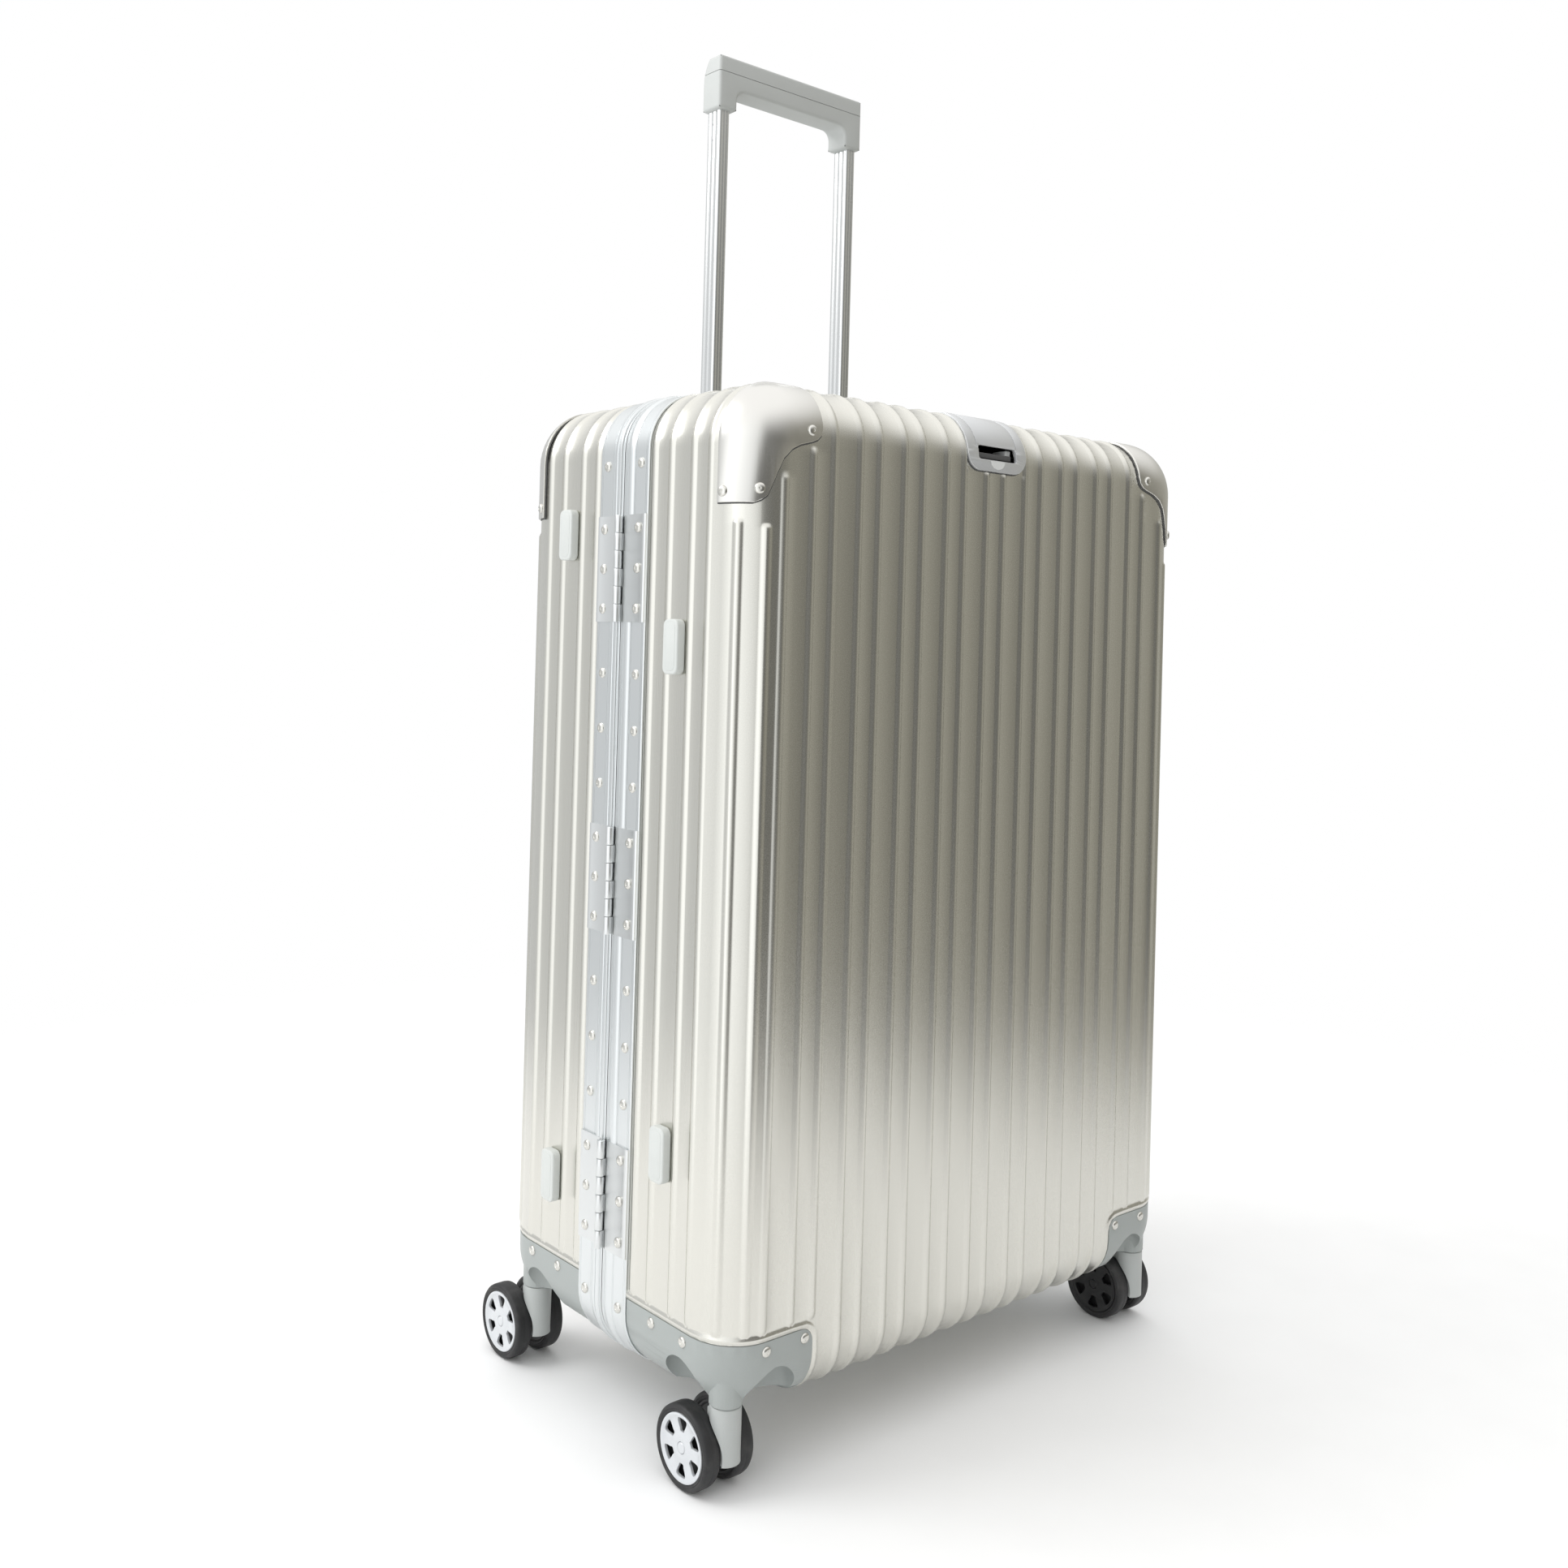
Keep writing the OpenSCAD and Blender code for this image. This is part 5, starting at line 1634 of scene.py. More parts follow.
@dataclass(frozen=True)
class Trolley:
    """Telescoping poles, their bezel and the grip with its button."""

    span: float = 156 * MM
    y: float = PARTING_Y + TROLLEY_Y
    grip_foot: float = 1074 * MM
    grip_half: float = 87.5 * MM
    grip_height: float = 48 * MM
    bar: float = 29 * MM
    depth: float = 25 * MM
    leg: float = 21 * MM
    button_y: float = 121.5 * MM

    def fluted(self, width: float, depth: float, radius: float, flute: float) -> Outline:
        """Rounded oblong with shallow flutes down its four faces."""
        points: Outline = []
        corners = rounded_outline(width, depth, radius, 5)
        for index, (x, y) in enumerate(corners):
            points.append((x, y))
            if index % 6 != 5:
                continue
            nx, ny = corners[(index + 1) % len(corners)]
            for t, dip in ((0.12, 0), (0.2, 1), (0.36, 1), (0.44, 0), (0.56, 0), (0.64, 1), (0.8, 1),
                           (0.88, 0)):
                px, py = x + (nx - x) * t, y + (ny - y) * t
                inward = (-math.copysign(1, px),
                          0) if abs(nx - x) < abs(ny - y) else (0, -math.copysign(1, py))
                points.append((px + inward[0] * dip * flute, py + inward[1] * dip * flute))
        return points

    def tube(self, outer: Outline, inner: Outline | None,
             low: float, high: float, x: float) -> Piece:
        """Pole or sleeve from an outer and an inner outline of as many points."""
        at = along_z(x, self.y)
        if inner is None:
            return soften(prism("pole", outer, low, high, at, Palette.POLE), 0.2 * MM, 1, 50)
        count = len(outer)
        vertices = [(px, py, z) for line in (outer, inner) for z in (low, high) for px, py in line]
        faces = []
        for i in range(count):
            j = (i + 1) % count
            faces += [(i, j, count + j, count + i),
                      (2 * count + j, 2 * count + i, 3 * count + i, 3 * count + j),
                      (j, i, 2 * count + i, 2 * count + j),
                      (count + i, count + j, 3 * count + j, 3 * count + i)]
        return smooth(moved(face_outwards(new_object("sleeve", vertices, faces, Palette.POLE)), at), 30)

    def poles(self) -> None:
        """Makes the three stages on both sides."""
        stages: dict[str, list[Piece]] = {"outer": [], "middle": [], "inner": []}
        for s in (-1, 1):
            x = s * self.span / 2
            pole = self.tube(self.fluted(12 * MM, 18 * MM, 2.5 * MM, 0.35 * MM), None, 404 * MM, 1088 * MM, x)
            stages["inner"].append(pole)
            for drop in (12 * MM, 26 * MM):
                profile = mm((0.1, -1), (1.25, -1), (1.25, 0.1), (1.0, 0.3), (0.1, 0.35))
                at = along_x(x + s * 5.75 * MM, self.y, self.grip_foot - drop) @ Matrix.Scale(s, 4, (0, 0, 1))
                stages["inner"].append(lathe("lock_pin", profile, at, Palette.STEEL, 20))
            stages["middle"].append(self.tube(self.fluted(15.1 * MM, 21.1 * MM, 2.5 * MM, 0.0),
                                              self.fluted(12.5 * MM, 18.5 * MM, 1.2 * MM, 0.0), 124 * MM,
                                              785 * MM, x))
            stages["outer"].append(self.tube(self.fluted(18.2 * MM, 24.2 * MM, 2.5 * MM, 0.0),
                                             self.fluted(15.6 * MM, 21.6 * MM, 1.2 * MM, 0.0), 114 * MM,
                                             780 * MM, x))
        bodies = {"outer": "rear_half", "middle": "trolley_middle", "inner": "trolley_handle"}
        for word, parts in stages.items():
            place(join(f"{word}_poles", parts), bodies[word], "tube_aluminium", f"trolley_{word}_tubes")

    def profile(self) -> Outline:
        """Side section of the grip: upright towards the lid, arched towards the back."""
        h, back = self.grip_height, 34 * MM
        cy, cz = self.depth / 2 - back, h - 22 * MM
        arc = [(cy + back * math.cos(a), cz + back * math.sin(a))
               for a in np.linspace(0, math.asin(22 / 34), 9)]
        return [(-self.depth / 2, 0), (self.depth / 2, 0), *arc, (-self.depth / 2, h)]

    def grip(self) -> Piece:
        """Grip in an upper and a lower shell over a dark core that shows in the seam as painted shade between
        the shells.
        """
        at = Matrix.Translation((0, self.y, self.grip_foot)) @ along_x()
        opening = self.bar_opening(0.0)
        whole = face_outwards(prism("grip", self.profile(), -self.grip_half, self.grip_half, at,
                                    Palette.GRIP))
        carve(whole, opening)
        soften(whole, 3.0 * MM, 5, 40)
        shells = []
        seam = self.grip_foot + 33.5 * MM
        for low, high in ((self.grip_foot - 0.1, seam - 0.25 * MM), (seam + 0.25 * MM, self.grip_foot + 0.1)):
            shell = duplicate(whole)
            block = prism("block", [(-0.2, -0.2), (0.2, -0.2), (0.2, 0.4), (-0.2, 0.4)], low, high, along_z(),
                          Palette.GRIP)
            carve(shell, block, "INTERSECT")
            shells.append(shell)
        bpy.data.objects.remove(whole)
        # The near-black core shows only in the seam between the shells, where it is painted shade.
        inner = [(y * 0.93, 1 * MM + z * 0.955) for y, z in self.profile()]
        core = face_outwards(prism("core", inner, -self.grip_half + MM, self.grip_half - MM, at,
                                   Palette.DARK))
        carve(core, self.bar_opening(0.9 * MM))
        recess = [(x, y + PARTING_Y + self.button_y) for x,
                  y in rounded_outline(34.5 * MM, 11.5 * MM, 4 * MM)]
        for part in (shells[1], core):
            carve(part, prism("recess", recess, 1110 * MM, 1140 * MM, along_z(), Palette.DARK))
        return join("pull_grip", [smooth(part, 40) for part in (*shells, core)])

    def bar_opening(self, grow: float) -> Piece:
        """Tool for the hand opening below the bar."""
        width = 2 * (self.grip_half - self.leg) + 2 * grow
        height = self.grip_height - self.bar + 20 * MM + grow
        outline = [(x, z + self.grip_foot - 20 * MM + height / 2) for x,
                   z in rounded_outline(width, height, 9 * MM, 8)]
        return prism("opening", outline, -0.4, 0.4, along_y(), Palette.GRIP)

    def button(self) -> Piece:
        """Release button with cross ribs, in the middle of the bar."""
        outline = [(x, y + PARTING_Y + self.button_y) for x, y in rounded_outline(34 * MM, 11 * MM, 3.8 * MM)]
        button = prism("button", outline, 1113.3 * MM, 1122.6 * MM, along_z(), Palette.FITTING)
        soften(button, 0.9 * MM, 3, 40)
        ribs = []
        for index in range(-5, 6):
            rib = prism("rib", rounded_outline(0.9 * MM, 8 * MM, 0.4 * MM, 3), 1122.2 * MM, 1123 * MM,
                        along_z(index * 2.1 * MM, PARTING_Y + self.button_y), Palette.FITTING)
            ribs.append(soften(rib, 0.25 * MM, 1))
        return join("grip_button", [button, *ribs])

    def bezel(self) -> Piece:
        """Collar plate on the case's top, formed over the rear edge."""
        plate = FORM.solid("bezel", -1.5 * MM, 40 * MM, Palette.HOUSING, 14)
        outline = [(x, y + 123.8 * MM) for x, y in rounded_outline(190.2 * MM, 34.8 * MM, 8 * MM)]
        carve(plate, prism("edge", outline, 770 * MM, 800 * MM, along_z(), Palette.HOUSING), "INTERSECT")
        for s in (-1, 1):
            hole = [(x + s * self.span / 2, y + TROLLEY_Y) for x,
                    y in rounded_outline(18.4 * MM, 24.4 * MM, 2.6 * MM)]
            carve(plate, prism("hole", hole, 700 * MM, 800 * MM, along_z(), Palette.HOUSING))
        soften(plate, 0.8 * MM, 3, 40)
        modify(plate, "WEIGHTED_NORMAL", keep_sharp=True)
        plate.name = "trolley_collar_plate"
        return moved(plate, half_place(Half.REAR))

    def build(self) -> None:
        """Makes the whole trolley."""
        self.poles()
        place(self.grip(), "trolley_handle", "grip_plastic", "trolley_grip")
        place(self.button(), "release_button", "fitting_plastic", "trolley_button")
        place(self.bezel(), "rear_half", "housing_plastic", "trolley_bezel")


# ---- carry handles, latches, feet and bag holder ----


@dataclass(frozen=True)
class CarryHandle:
    """Grip on two mounts, along local X on a face at local Z = 0."""

    word: str
    at: Matrix
    length: float = 108 * MM
    link: float = 15 * MM
    mount: float = 31 * MM
    width: float = 24 * MM
    height: float = 16 * MM

    def mounts(self) -> Piece:
        """Both mounts, each with a ramped outer end and a pocket for the link."""
        start, length, height = self.length / 2 + self.link, self.mount, self.height
        outline = [(start, 0), (start + length, 0), (start + length, 3 * MM),
                   (start + length - 12 * MM, height - 0.6 * MM),
                   (start + length - 15 * MM, height), (start + 2 * MM, height), (start, height - 2 * MM)]
        pieces = []
        for s in (1, -1):
            block = face_outwards(prism("mount", outline, -self.width / 2, self.width / 2, along_y(),
                                        Palette.GRIP))
            slot = [(start - 2 * MM, 3.6 * MM), (start + 12.3 * MM, 3.6 * MM), (start + 12.3 * MM, 0.03),
                    (start - 2 * MM, 0.03)]
            carve(block, face_outwards(prism("pocket", slot, -4.3 * MM, 4.3 * MM, along_y(), Palette.GRIP)))
            soften(block, 1.6 * MM, 4, 35)
            pieces.append(moved(block, self.at @ Matrix.Diagonal((s, 1, 1, 1))))
        return join(f"{self.word}_handle_sockets", pieces)

    def grip(self) -> Piece:
        """Hand grip lofted along X, with a soft ribbed belly and two links."""
        middle = 9.5 * MM
        half = self.length / 2
        stations = [(-half, 0.72), (-half + 1.2 * MM, 0.9), (-half + 4 * MM, 0.99), (-half + 12 * MM, 1.0),
                    (0, 1.0),
                    (half - 12 * MM, 1.0), (half - 4 * MM, 0.99), (half - 1.2 * MM, 0.9), (half, 0.72)]
        section = rounded_outline(20 * MM, 11 * MM, 5.2 * MM, 7)
        count = len(section)
        vertices = [(x, y * k, z * k + middle) for x, k in stations for y, z in section]
        faces = [(r * count + i, r * count + (i + 1) % count, (r + 1) * count + (i + 1) % count,
                  (r + 1) * count + i)
                 for r in range(len(stations) - 1) for i in range(count)]
        faces += [tuple(range(count)), tuple(range((len(stations) - 1) * count, len(stations) * count))]
        pieces = [smooth(moved(face_outwards(new_object("grip", vertices, faces, Palette.GRIP)), self.at))]
        for s in (-1, 1):
            link = prism("link", rounded_outline(16 * MM, 9 * MM, 4 * MM, 5), half - MM,
                         half + self.link - 0.8 * MM,
                         along_x(0, 0, middle), Palette.GRIP)
            tongue = prism("tongue", rounded_outline(8 * MM, 8.6 * MM, 2 * MM, 4), half + self.link - 2 * MM,
                           half + self.link + 11.8 * MM, along_x(0, 0, middle - 0.2 * MM), Palette.FITTING)
            for part in (link, tongue):
                pieces.append(moved(soften(part, 0.7 * MM, 3), self.at @ Matrix.Diagonal((s, 1, 1, 1))))
        for index in range(-9, 10):
            rib = prism("rib", rounded_outline(1.4 * MM, 11 * MM, 0.6 * MM, 3), -0.5 * MM, 0.35 * MM,
                        along_z(index * 4.2 * MM, 0, 4 * MM) @ Matrix.Scale(-1, 4, (0, 0, 1)), Palette.GRIP)
            pieces.append(moved(face_outwards(rib), self.at))
        return join(f"{self.word}_handle_bar", pieces)

    def build(self) -> None:
        """Makes the mounts and the grip."""
        place(self.mounts(), "rear_half", "grip_plastic", f"{self.word}_handle_mounts")
        place(self.grip(), f"{self.word}_carry_handle", "grip_plastic", f"{self.word}_handle_grip")


@dataclass(frozen=True)
class Latches:
    """Two lever latches on the right narrow side, with their keepers on the lid."""

    x: float = 256.6 * MM
    pivot: tuple[float, float] = (261.7 * MM, 25 * MM)
    levels: tuple[tuple[str, float], ...] = (("upper", 589 * MM), ("lower", 249 * MM))

    def base(self, level: float) -> list[Piece]:
        """Base plate with two ears and the pin between them."""
        at = Matrix.Translation((self.x, PARTING_Y, level)) @ along_x()
        plate = [(a + 17 * MM, b) for a, b in rounded_outline(28 * MM, 64 * MM, 3 * MM)]
        pieces = [soften(prism("plate", plate, 0, 1.2 * MM, at, Palette.LATCH), 0.4 * MM)]
        for s in (-1, 1):
            ear = [(a + 25 * MM, b + s * 29 * MM) for a, b in rounded_outline(7.2 * MM, 6 * MM, 0.8 * MM, 3)]
            pieces.append(soften(prism("ear", ear, 0, 8.6 * MM, at, Palette.LATCH), 1.2 * MM, 3, 50))
        pin = mm((0.1, -27), (1.6, -27), (1.6, 27), (0.1, 27))
        pieces.append(lathe("pin", pin, along_z(self.pivot[0], PARTING_Y + self.pivot[1], level),
                            Palette.STEEL, 24))
        return pieces

    def lever(self, level: float) -> Piece:
        """Lever with its rolled barrel, a finger lip and a lock plug whose keyway is a dark slit of painted
        shade.
        """
        px, py = self.pivot
        ring = [(px + 3.6 * MM * math.cos(a), py + 3.6 * MM * math.sin(a))
                for a in np.linspace(0, math.tau, 28)[:-1]]
        bow = [(px - 2 * MM, py), (px - 2 * MM, py - 34 * MM), (px - 0.6 * MM, py - 34 * MM),
               (px + 1.0 * MM, py - 33.2 * MM),
               (px + 1.6 * MM, py - 31 * MM), (px + 1.4 * MM, py - 27 * MM), (px + 2 * MM, py - 20 * MM),
               (px + 2 * MM, py - 8 * MM), (px + 3.0 * MM, py - 2.5 * MM), (px + 3.4 * MM, py)]
        at = along_z(0, PARTING_Y, level)
        barrel = soften(face_outwards(prism("barrel", ring, -25.6 * MM, 25.6 * MM, at, Palette.LATCH)),
                        0.4 * MM, 2, 60)
        plate = soften(face_outwards(prism("plate", bow, -25.6 * MM, 25.6 * MM, at, Palette.LATCH)), 0.6 * MM,
                       3, 40)
        piece = join("lever", [plate, barrel])
        bore = mm((0.1, -30), (1.65, -30), (1.65, 30), (0.1, 30))
        carve(piece, lathe("bore", bore, along_z(px, PARTING_Y + py, level), Palette.LATCH, 24))
        plug = mm((0.1, -0.2), (5.4, -0.2), (5.4, 0.5), (4.9, 0.8), (4.0, 0.8), (3.8, 0.45), (0.1, 0.45))
        plug_at = along_x(px + 1.9 * MM, PARTING_Y + py - 14 * MM, level)
        # Dark slit on the plug: painted shade standing in for the keyway.
        key = prism("key", rounded_outline(0.9 * MM, 4.6 * MM, 0.4 * MM, 3), 0.4 * MM, 0.52 * MM, plug_at,
                    Palette.DARK)
        return smooth(join("lever", [piece, lathe("plug", plug, plug_at, Palette.STEEL, 36), key]))

    def build(self) -> None:
        """Makes both latches."""
        bases, keepers = [], []
        for word, level in self.levels:
            bases += self.base(level)
            lever = self.lever(level)
            lever.name = f"{word}_latch_handle"
            place(lever, f"{word}_latch", "latch_metal", f"latch_lever_{word}")
            shape = [(a - 12 * MM, b) for a, b in rounded_outline(16 * MM, 51.2 * MM, 2.5 * MM)]
            at = Matrix.Translation((self.x, PARTING_Y, level)) @ along_x()
            keepers.append(soften(prism("keeper", shape, 0, 2.5 * MM, at, Palette.LATCH), 0.8 * MM, 3))
        place(join("latch_plates", bases), "rear_half", "latch_metal", "latch_bases")
        place(join("latch_catches", keepers), "lid", "latch_metal", "latch_keepers")


@dataclass(frozen=True)
class SideFeet:
    """Moulded feet that the case lies on, on the left narrow side."""

    half: Half
    levels: tuple[float, float]
    y: float = 70.75 * MM
    size: tuple[float, float, float] = (17.4 * MM, 40 * MM, 7.6 * MM)

    def build(self) -> None:
        """Makes both feet of the half."""
        width, length, height = self.size
        feet = []
        for level in self.levels:
            at = Matrix.Translation((-FORM.half_width, PARTING_Y + self.half.value * self.y, level))
            at = at @ along_x() @ Matrix.Scale(-1, 4, (0, 0, 1))
            foot = moved(prism("foot", rounded_outline(width, length, 5 * MM, 8), 0, height,
                               Matrix.Identity(4),
                               Palette.FOOT), at)
            soften(face_outwards(foot), 1.4 * MM, 4, 40)
            pad = moved(prism("pad", rounded_outline(width - 5 * MM, length - 5 * MM, 4.4 * MM, 8),
                              height - MM,
                              height + 0.3 * MM, Matrix.Identity(4), Palette.FOOT), at)
            feet += [smooth(foot), soften(face_outwards(pad), 0.5 * MM)]
        place(join(f"{self.half.word}_rest_feet", feet), self.half.body, "foot_plastic",
              f"{self.half.word}_feet")


@dataclass(frozen=True)
class BagHolder:
    """Formed plate over the lid's upper edge with a slot for the bag strap's tongue."""

    width: float = 69 * MM
    foot: float = 738 * MM
    lift: float = 2.6 * MM
    slot: tuple[float, float, float] = (45 * MM, 11 * MM, 752.5 * MM)

    def layer(self, lift: float, grow: float, core: float, finish: Palette, reach: float) -> Piece:
        """Sheet over the edge between two lifts, within the plate's outline grown by a margin."""
        sheet = FORM.solid("sheet", -lift, 30 * MM, finish, 16)
        carve(sheet, FORM.solid("core", -core, 20 * MM, finish, 16))
        width, height = self.width + 2 * grow, 120 * MM
        outline = [(x, z + self.foot - grow + height / 2) for x,
                   z in rounded_outline(width, height, 15 * MM + grow, 10)]
        tool = prism("trim", outline, -170 * MM, -reach + grow, along_y(), finish)
        return carve(sheet, tool, "INTERSECT")

    def build(self) -> None:
        """Makes the plate, the dark layer of painted shade round its edge, and the tongue."""
        plate = self.layer(self.lift, 0, 0.35 * MM, Palette.HOLDER, 75 * MM)
        width, height, level = self.slot
        outline = [(x, z + level) for x, z in rounded_outline(width, height, 2.5 * MM, 6)]
        carve(plate, prism("slot", outline, -170 * MM, -110 * MM, along_y(), Palette.HOLDER))
        for low_x, high_x, low_y, high_y in ((-24.3, -23.7, 60, 150), (23.7, 24.3, 60, 150),
                                             (-19, 13, 112.2, 112.8)):
            groove = FORM.solid("groove", -self.lift - MM, 30 * MM, Palette.HOLDER, 16)
            carve(groove, FORM.solid("core", -self.lift + 0.6 * MM, 20 * MM, Palette.HOLDER, 16))
            strip = [(low_x * MM, low_y * MM), (high_x * MM, low_y * MM), (high_x * MM, high_y * MM),
                     (low_x * MM, high_y * MM)]
            carve(groove, prism("strip", strip, 756 * MM, 800 * MM, along_z(), Palette.HOLDER), "INTERSECT")
            carve(plate, groove)
        soften(plate, 0.4 * MM, 2, 40)
        modify(plate, "WEIGHTED_NORMAL", keep_sharp=True)
        moon = [(8.4 * MM * math.cos(a), level - height / 2 - 0.6 * MM + 6.4 * MM * math.sin(a))
                for a in np.linspace(math.pi, math.tau, 20)]
        moon_face = FORM.depth + self.lift
        inlay = prism("thumb_mark", moon, -moon_face - 0.12 * MM, -moon_face + 0.5 * MM, along_y(),
                      Palette.PALE_INSERT)
        stop = prism("slot_end", [(x + 19 * MM, z + level) for x,
                                  z in rounded_outline(6 * MM, 9.6 * MM, MM, 3)],
                     -141 * MM, -128 * MM, along_y(), Palette.PALE_INSERT)
        # Near-black layer that shows 0.9 mm round the plate: painted shade along the plate's edge.
        edge_shade_layer = self.layer(0.5 * MM, 0.9 * MM, 0.03 * MM, Palette.DARK, 75 * MM)
        carve(edge_shade_layer, prism("slot", outline, -170 * MM, -110 * MM, along_y(), Palette.DARK))
        piece = join("bag_holder_cover", [plate, edge_shade_layer, face_outwards(inlay),
                                          soften(face_outwards(stop), 0.4 * MM)])
        place(moved(piece, half_place(Half.LID)), "lid", "holder_metal", "bag_holder_plate")
        tongue = [(x, y + 131.2 * MM) for x, y in rounded_outline(43 * MM, 25 * MM, 3 * MM, 6)]
        hook = prism("tongue", tongue, 748.2 * MM, 752.8 * MM, along_z(), Palette.DARK)
        hole = [(x, y + 128 * MM) for x, y in rounded_outline(30 * MM, 7 * MM, 2 * MM, 5)]
        carve(hook, prism("hole", hole, 740 * MM, 760 * MM, along_z(), Palette.DARK))
        soften(hook, 0.9 * MM, 3, 40)
        hook.name = "bag_strap_tongue"
        place(moved(hook, half_place(Half.LID)), "bag_hook", "dark_plastic", "bag_holder_hook")


# ---- inside ----


@dataclass(frozen=True)
class PackingSpace:
    """Lining tray of one half with its piped edge."""

    half: Half
    inset: float = 5 * MM
    thickness: float = 2.5 * MM
    near: float = 33 * MM
    low: float = 99 * MM
    high: float = 742 * MM

    @property
    def reach(self) -> float:
        """How far from the parting plane the tray's floor lies."""
        return 108.4 * MM if self.half is Half.REAR else 140 * MM

    def block(self, inset: float, near: float, reach: float, margin: float) -> Piece:
        """Form solid cut to the tray's height and depth."""
        body = FORM.solid("block", inset, near, Palette.LINING, 12)
        outline = [(-0.3, self.low + margin), (0.3, self.low + margin), (0.3, self.high - margin),
                   (-0.3, self.high - margin)]
        return carve(body, prism("limit", outline, -reach, 0.1, along_y(), Palette.LINING), "INTERSECT")

    def build(self) -> None:
        """Makes the tray and its piping."""
        tray = self.block(self.inset, self.near, self.reach, 0)
        carve(tray, self.block(self.inset + self.thickness, self.near - 2 * MM, self.reach - self.thickness,
                               self.thickness))
        soften(tray, 1.0 * MM, 3, 35)
        width, height = 2 * (FORM.half_width - self.inset), self.high - self.low
        path = rounded_outline(width - 2.4 * MM, height - 2.4 * MM, 3 * MM, 5)
        ring = [(1.5 * MM * math.cos(a), 1.5 * MM * math.sin(a)) for a in np.linspace(0, math.tau, 11)[:-1]]
        count, steps = len(path), len(ring)
        vertices = []
        for x, z in path:
            away = Vector((x, z)).normalized()
            vertices += [(x + away.x * a, self.near + 0.6 * MM + b,
                          z + away.y * a + (self.low + self.high) / 2)
                         for a, b in ring]
        faces = [(i * steps + j, i * steps + (j + 1) % steps, (i + 1) % count * steps + (j + 1) % steps,
                  (i + 1) % count * steps + j) for i in range(count) for j in range(steps)]
        piping = smooth(face_outwards(new_object("piping", vertices, faces, Palette.BINDING)), 60)
        piece = moved(join(f"{self.half.word}_quilted_tray", [tray, piping]), half_place(self.half))
        place(piece, self.half.body, "lining_fabric", f"{self.half.word}_lining")


@dataclass(frozen=True)
class PackStraps:
    """Two webbing bands across the trolley half, each with a side-release buckle."""

    y: float = PARTING_Y + 37 * MM
    half: float = 246.5 * MM
    width: float = 30 * MM
    thickness: float = 1.6 * MM
    levels: tuple[float, float] = (299 * MM, 539 * MM)

    def build(self) -> None:
        """Makes the bands and buckles."""
        for index, level in enumerate(self.levels):
            columns = np.linspace(-self.half, self.half, 60)
            section = [(-self.width / 2, 0.0), (self.width / 2, 0.0), (self.width / 2, self.thickness),
                       (-self.width / 2, self.thickness)]
            vertices = [(x, self.y + 0.001 * MM + b, level + a) for x in columns for a, b in section]
            faces = [(i * 4 + j, i * 4 + (j + 1) % 4, (i + 1) * 4 + (j + 1) % 4, (i + 1) * 4 + j)
                     for i in range(len(columns) - 1) for j in range(4)]
            last = 4 * (len(columns) - 1)
            faces += [(0, 1, 2, 3), (last, last + 1, last + 2, last + 3)]
            band = face_outwards(new_object(f"pack_band_{index + 1}", vertices, faces, Palette.STRAP))
            band = place(soften(band, 0.3 * MM, 2), "rear_half", "strap_fabric", "pack_straps")
            2 * self.half
            at = Matrix.Translation((0, self.y + self.thickness, level)) @ along_y()
            body = prism("body", rounded_outline(30 * MM, 37.6 * MM, 6 * MM), 0, 7.9 * MM, at, Palette.DARK)
            prong = [prism("prong", [(x + s * 19 * MM, z) for x,
                                     z in rounded_outline(9.6 * MM, 34 * MM, 3 * MM)],
                           1.2 * MM, 6.8 * MM, at, Palette.DARK) for s in (-1, 1)]
            dish = prism("dish", rounded_outline(16 * MM, 12 * MM, 4 * MM), 7.2 * MM, 9 * MM, at,
                         Palette.DARK)
            carve(body, dish)
            parts = [soften(part, 1.2 * MM, 3, 40) for part in (body, *prong)]
            place(join(f"pack_buckle_{index + 1}", parts), "rear_half", "dark_plastic", "pack_straps")


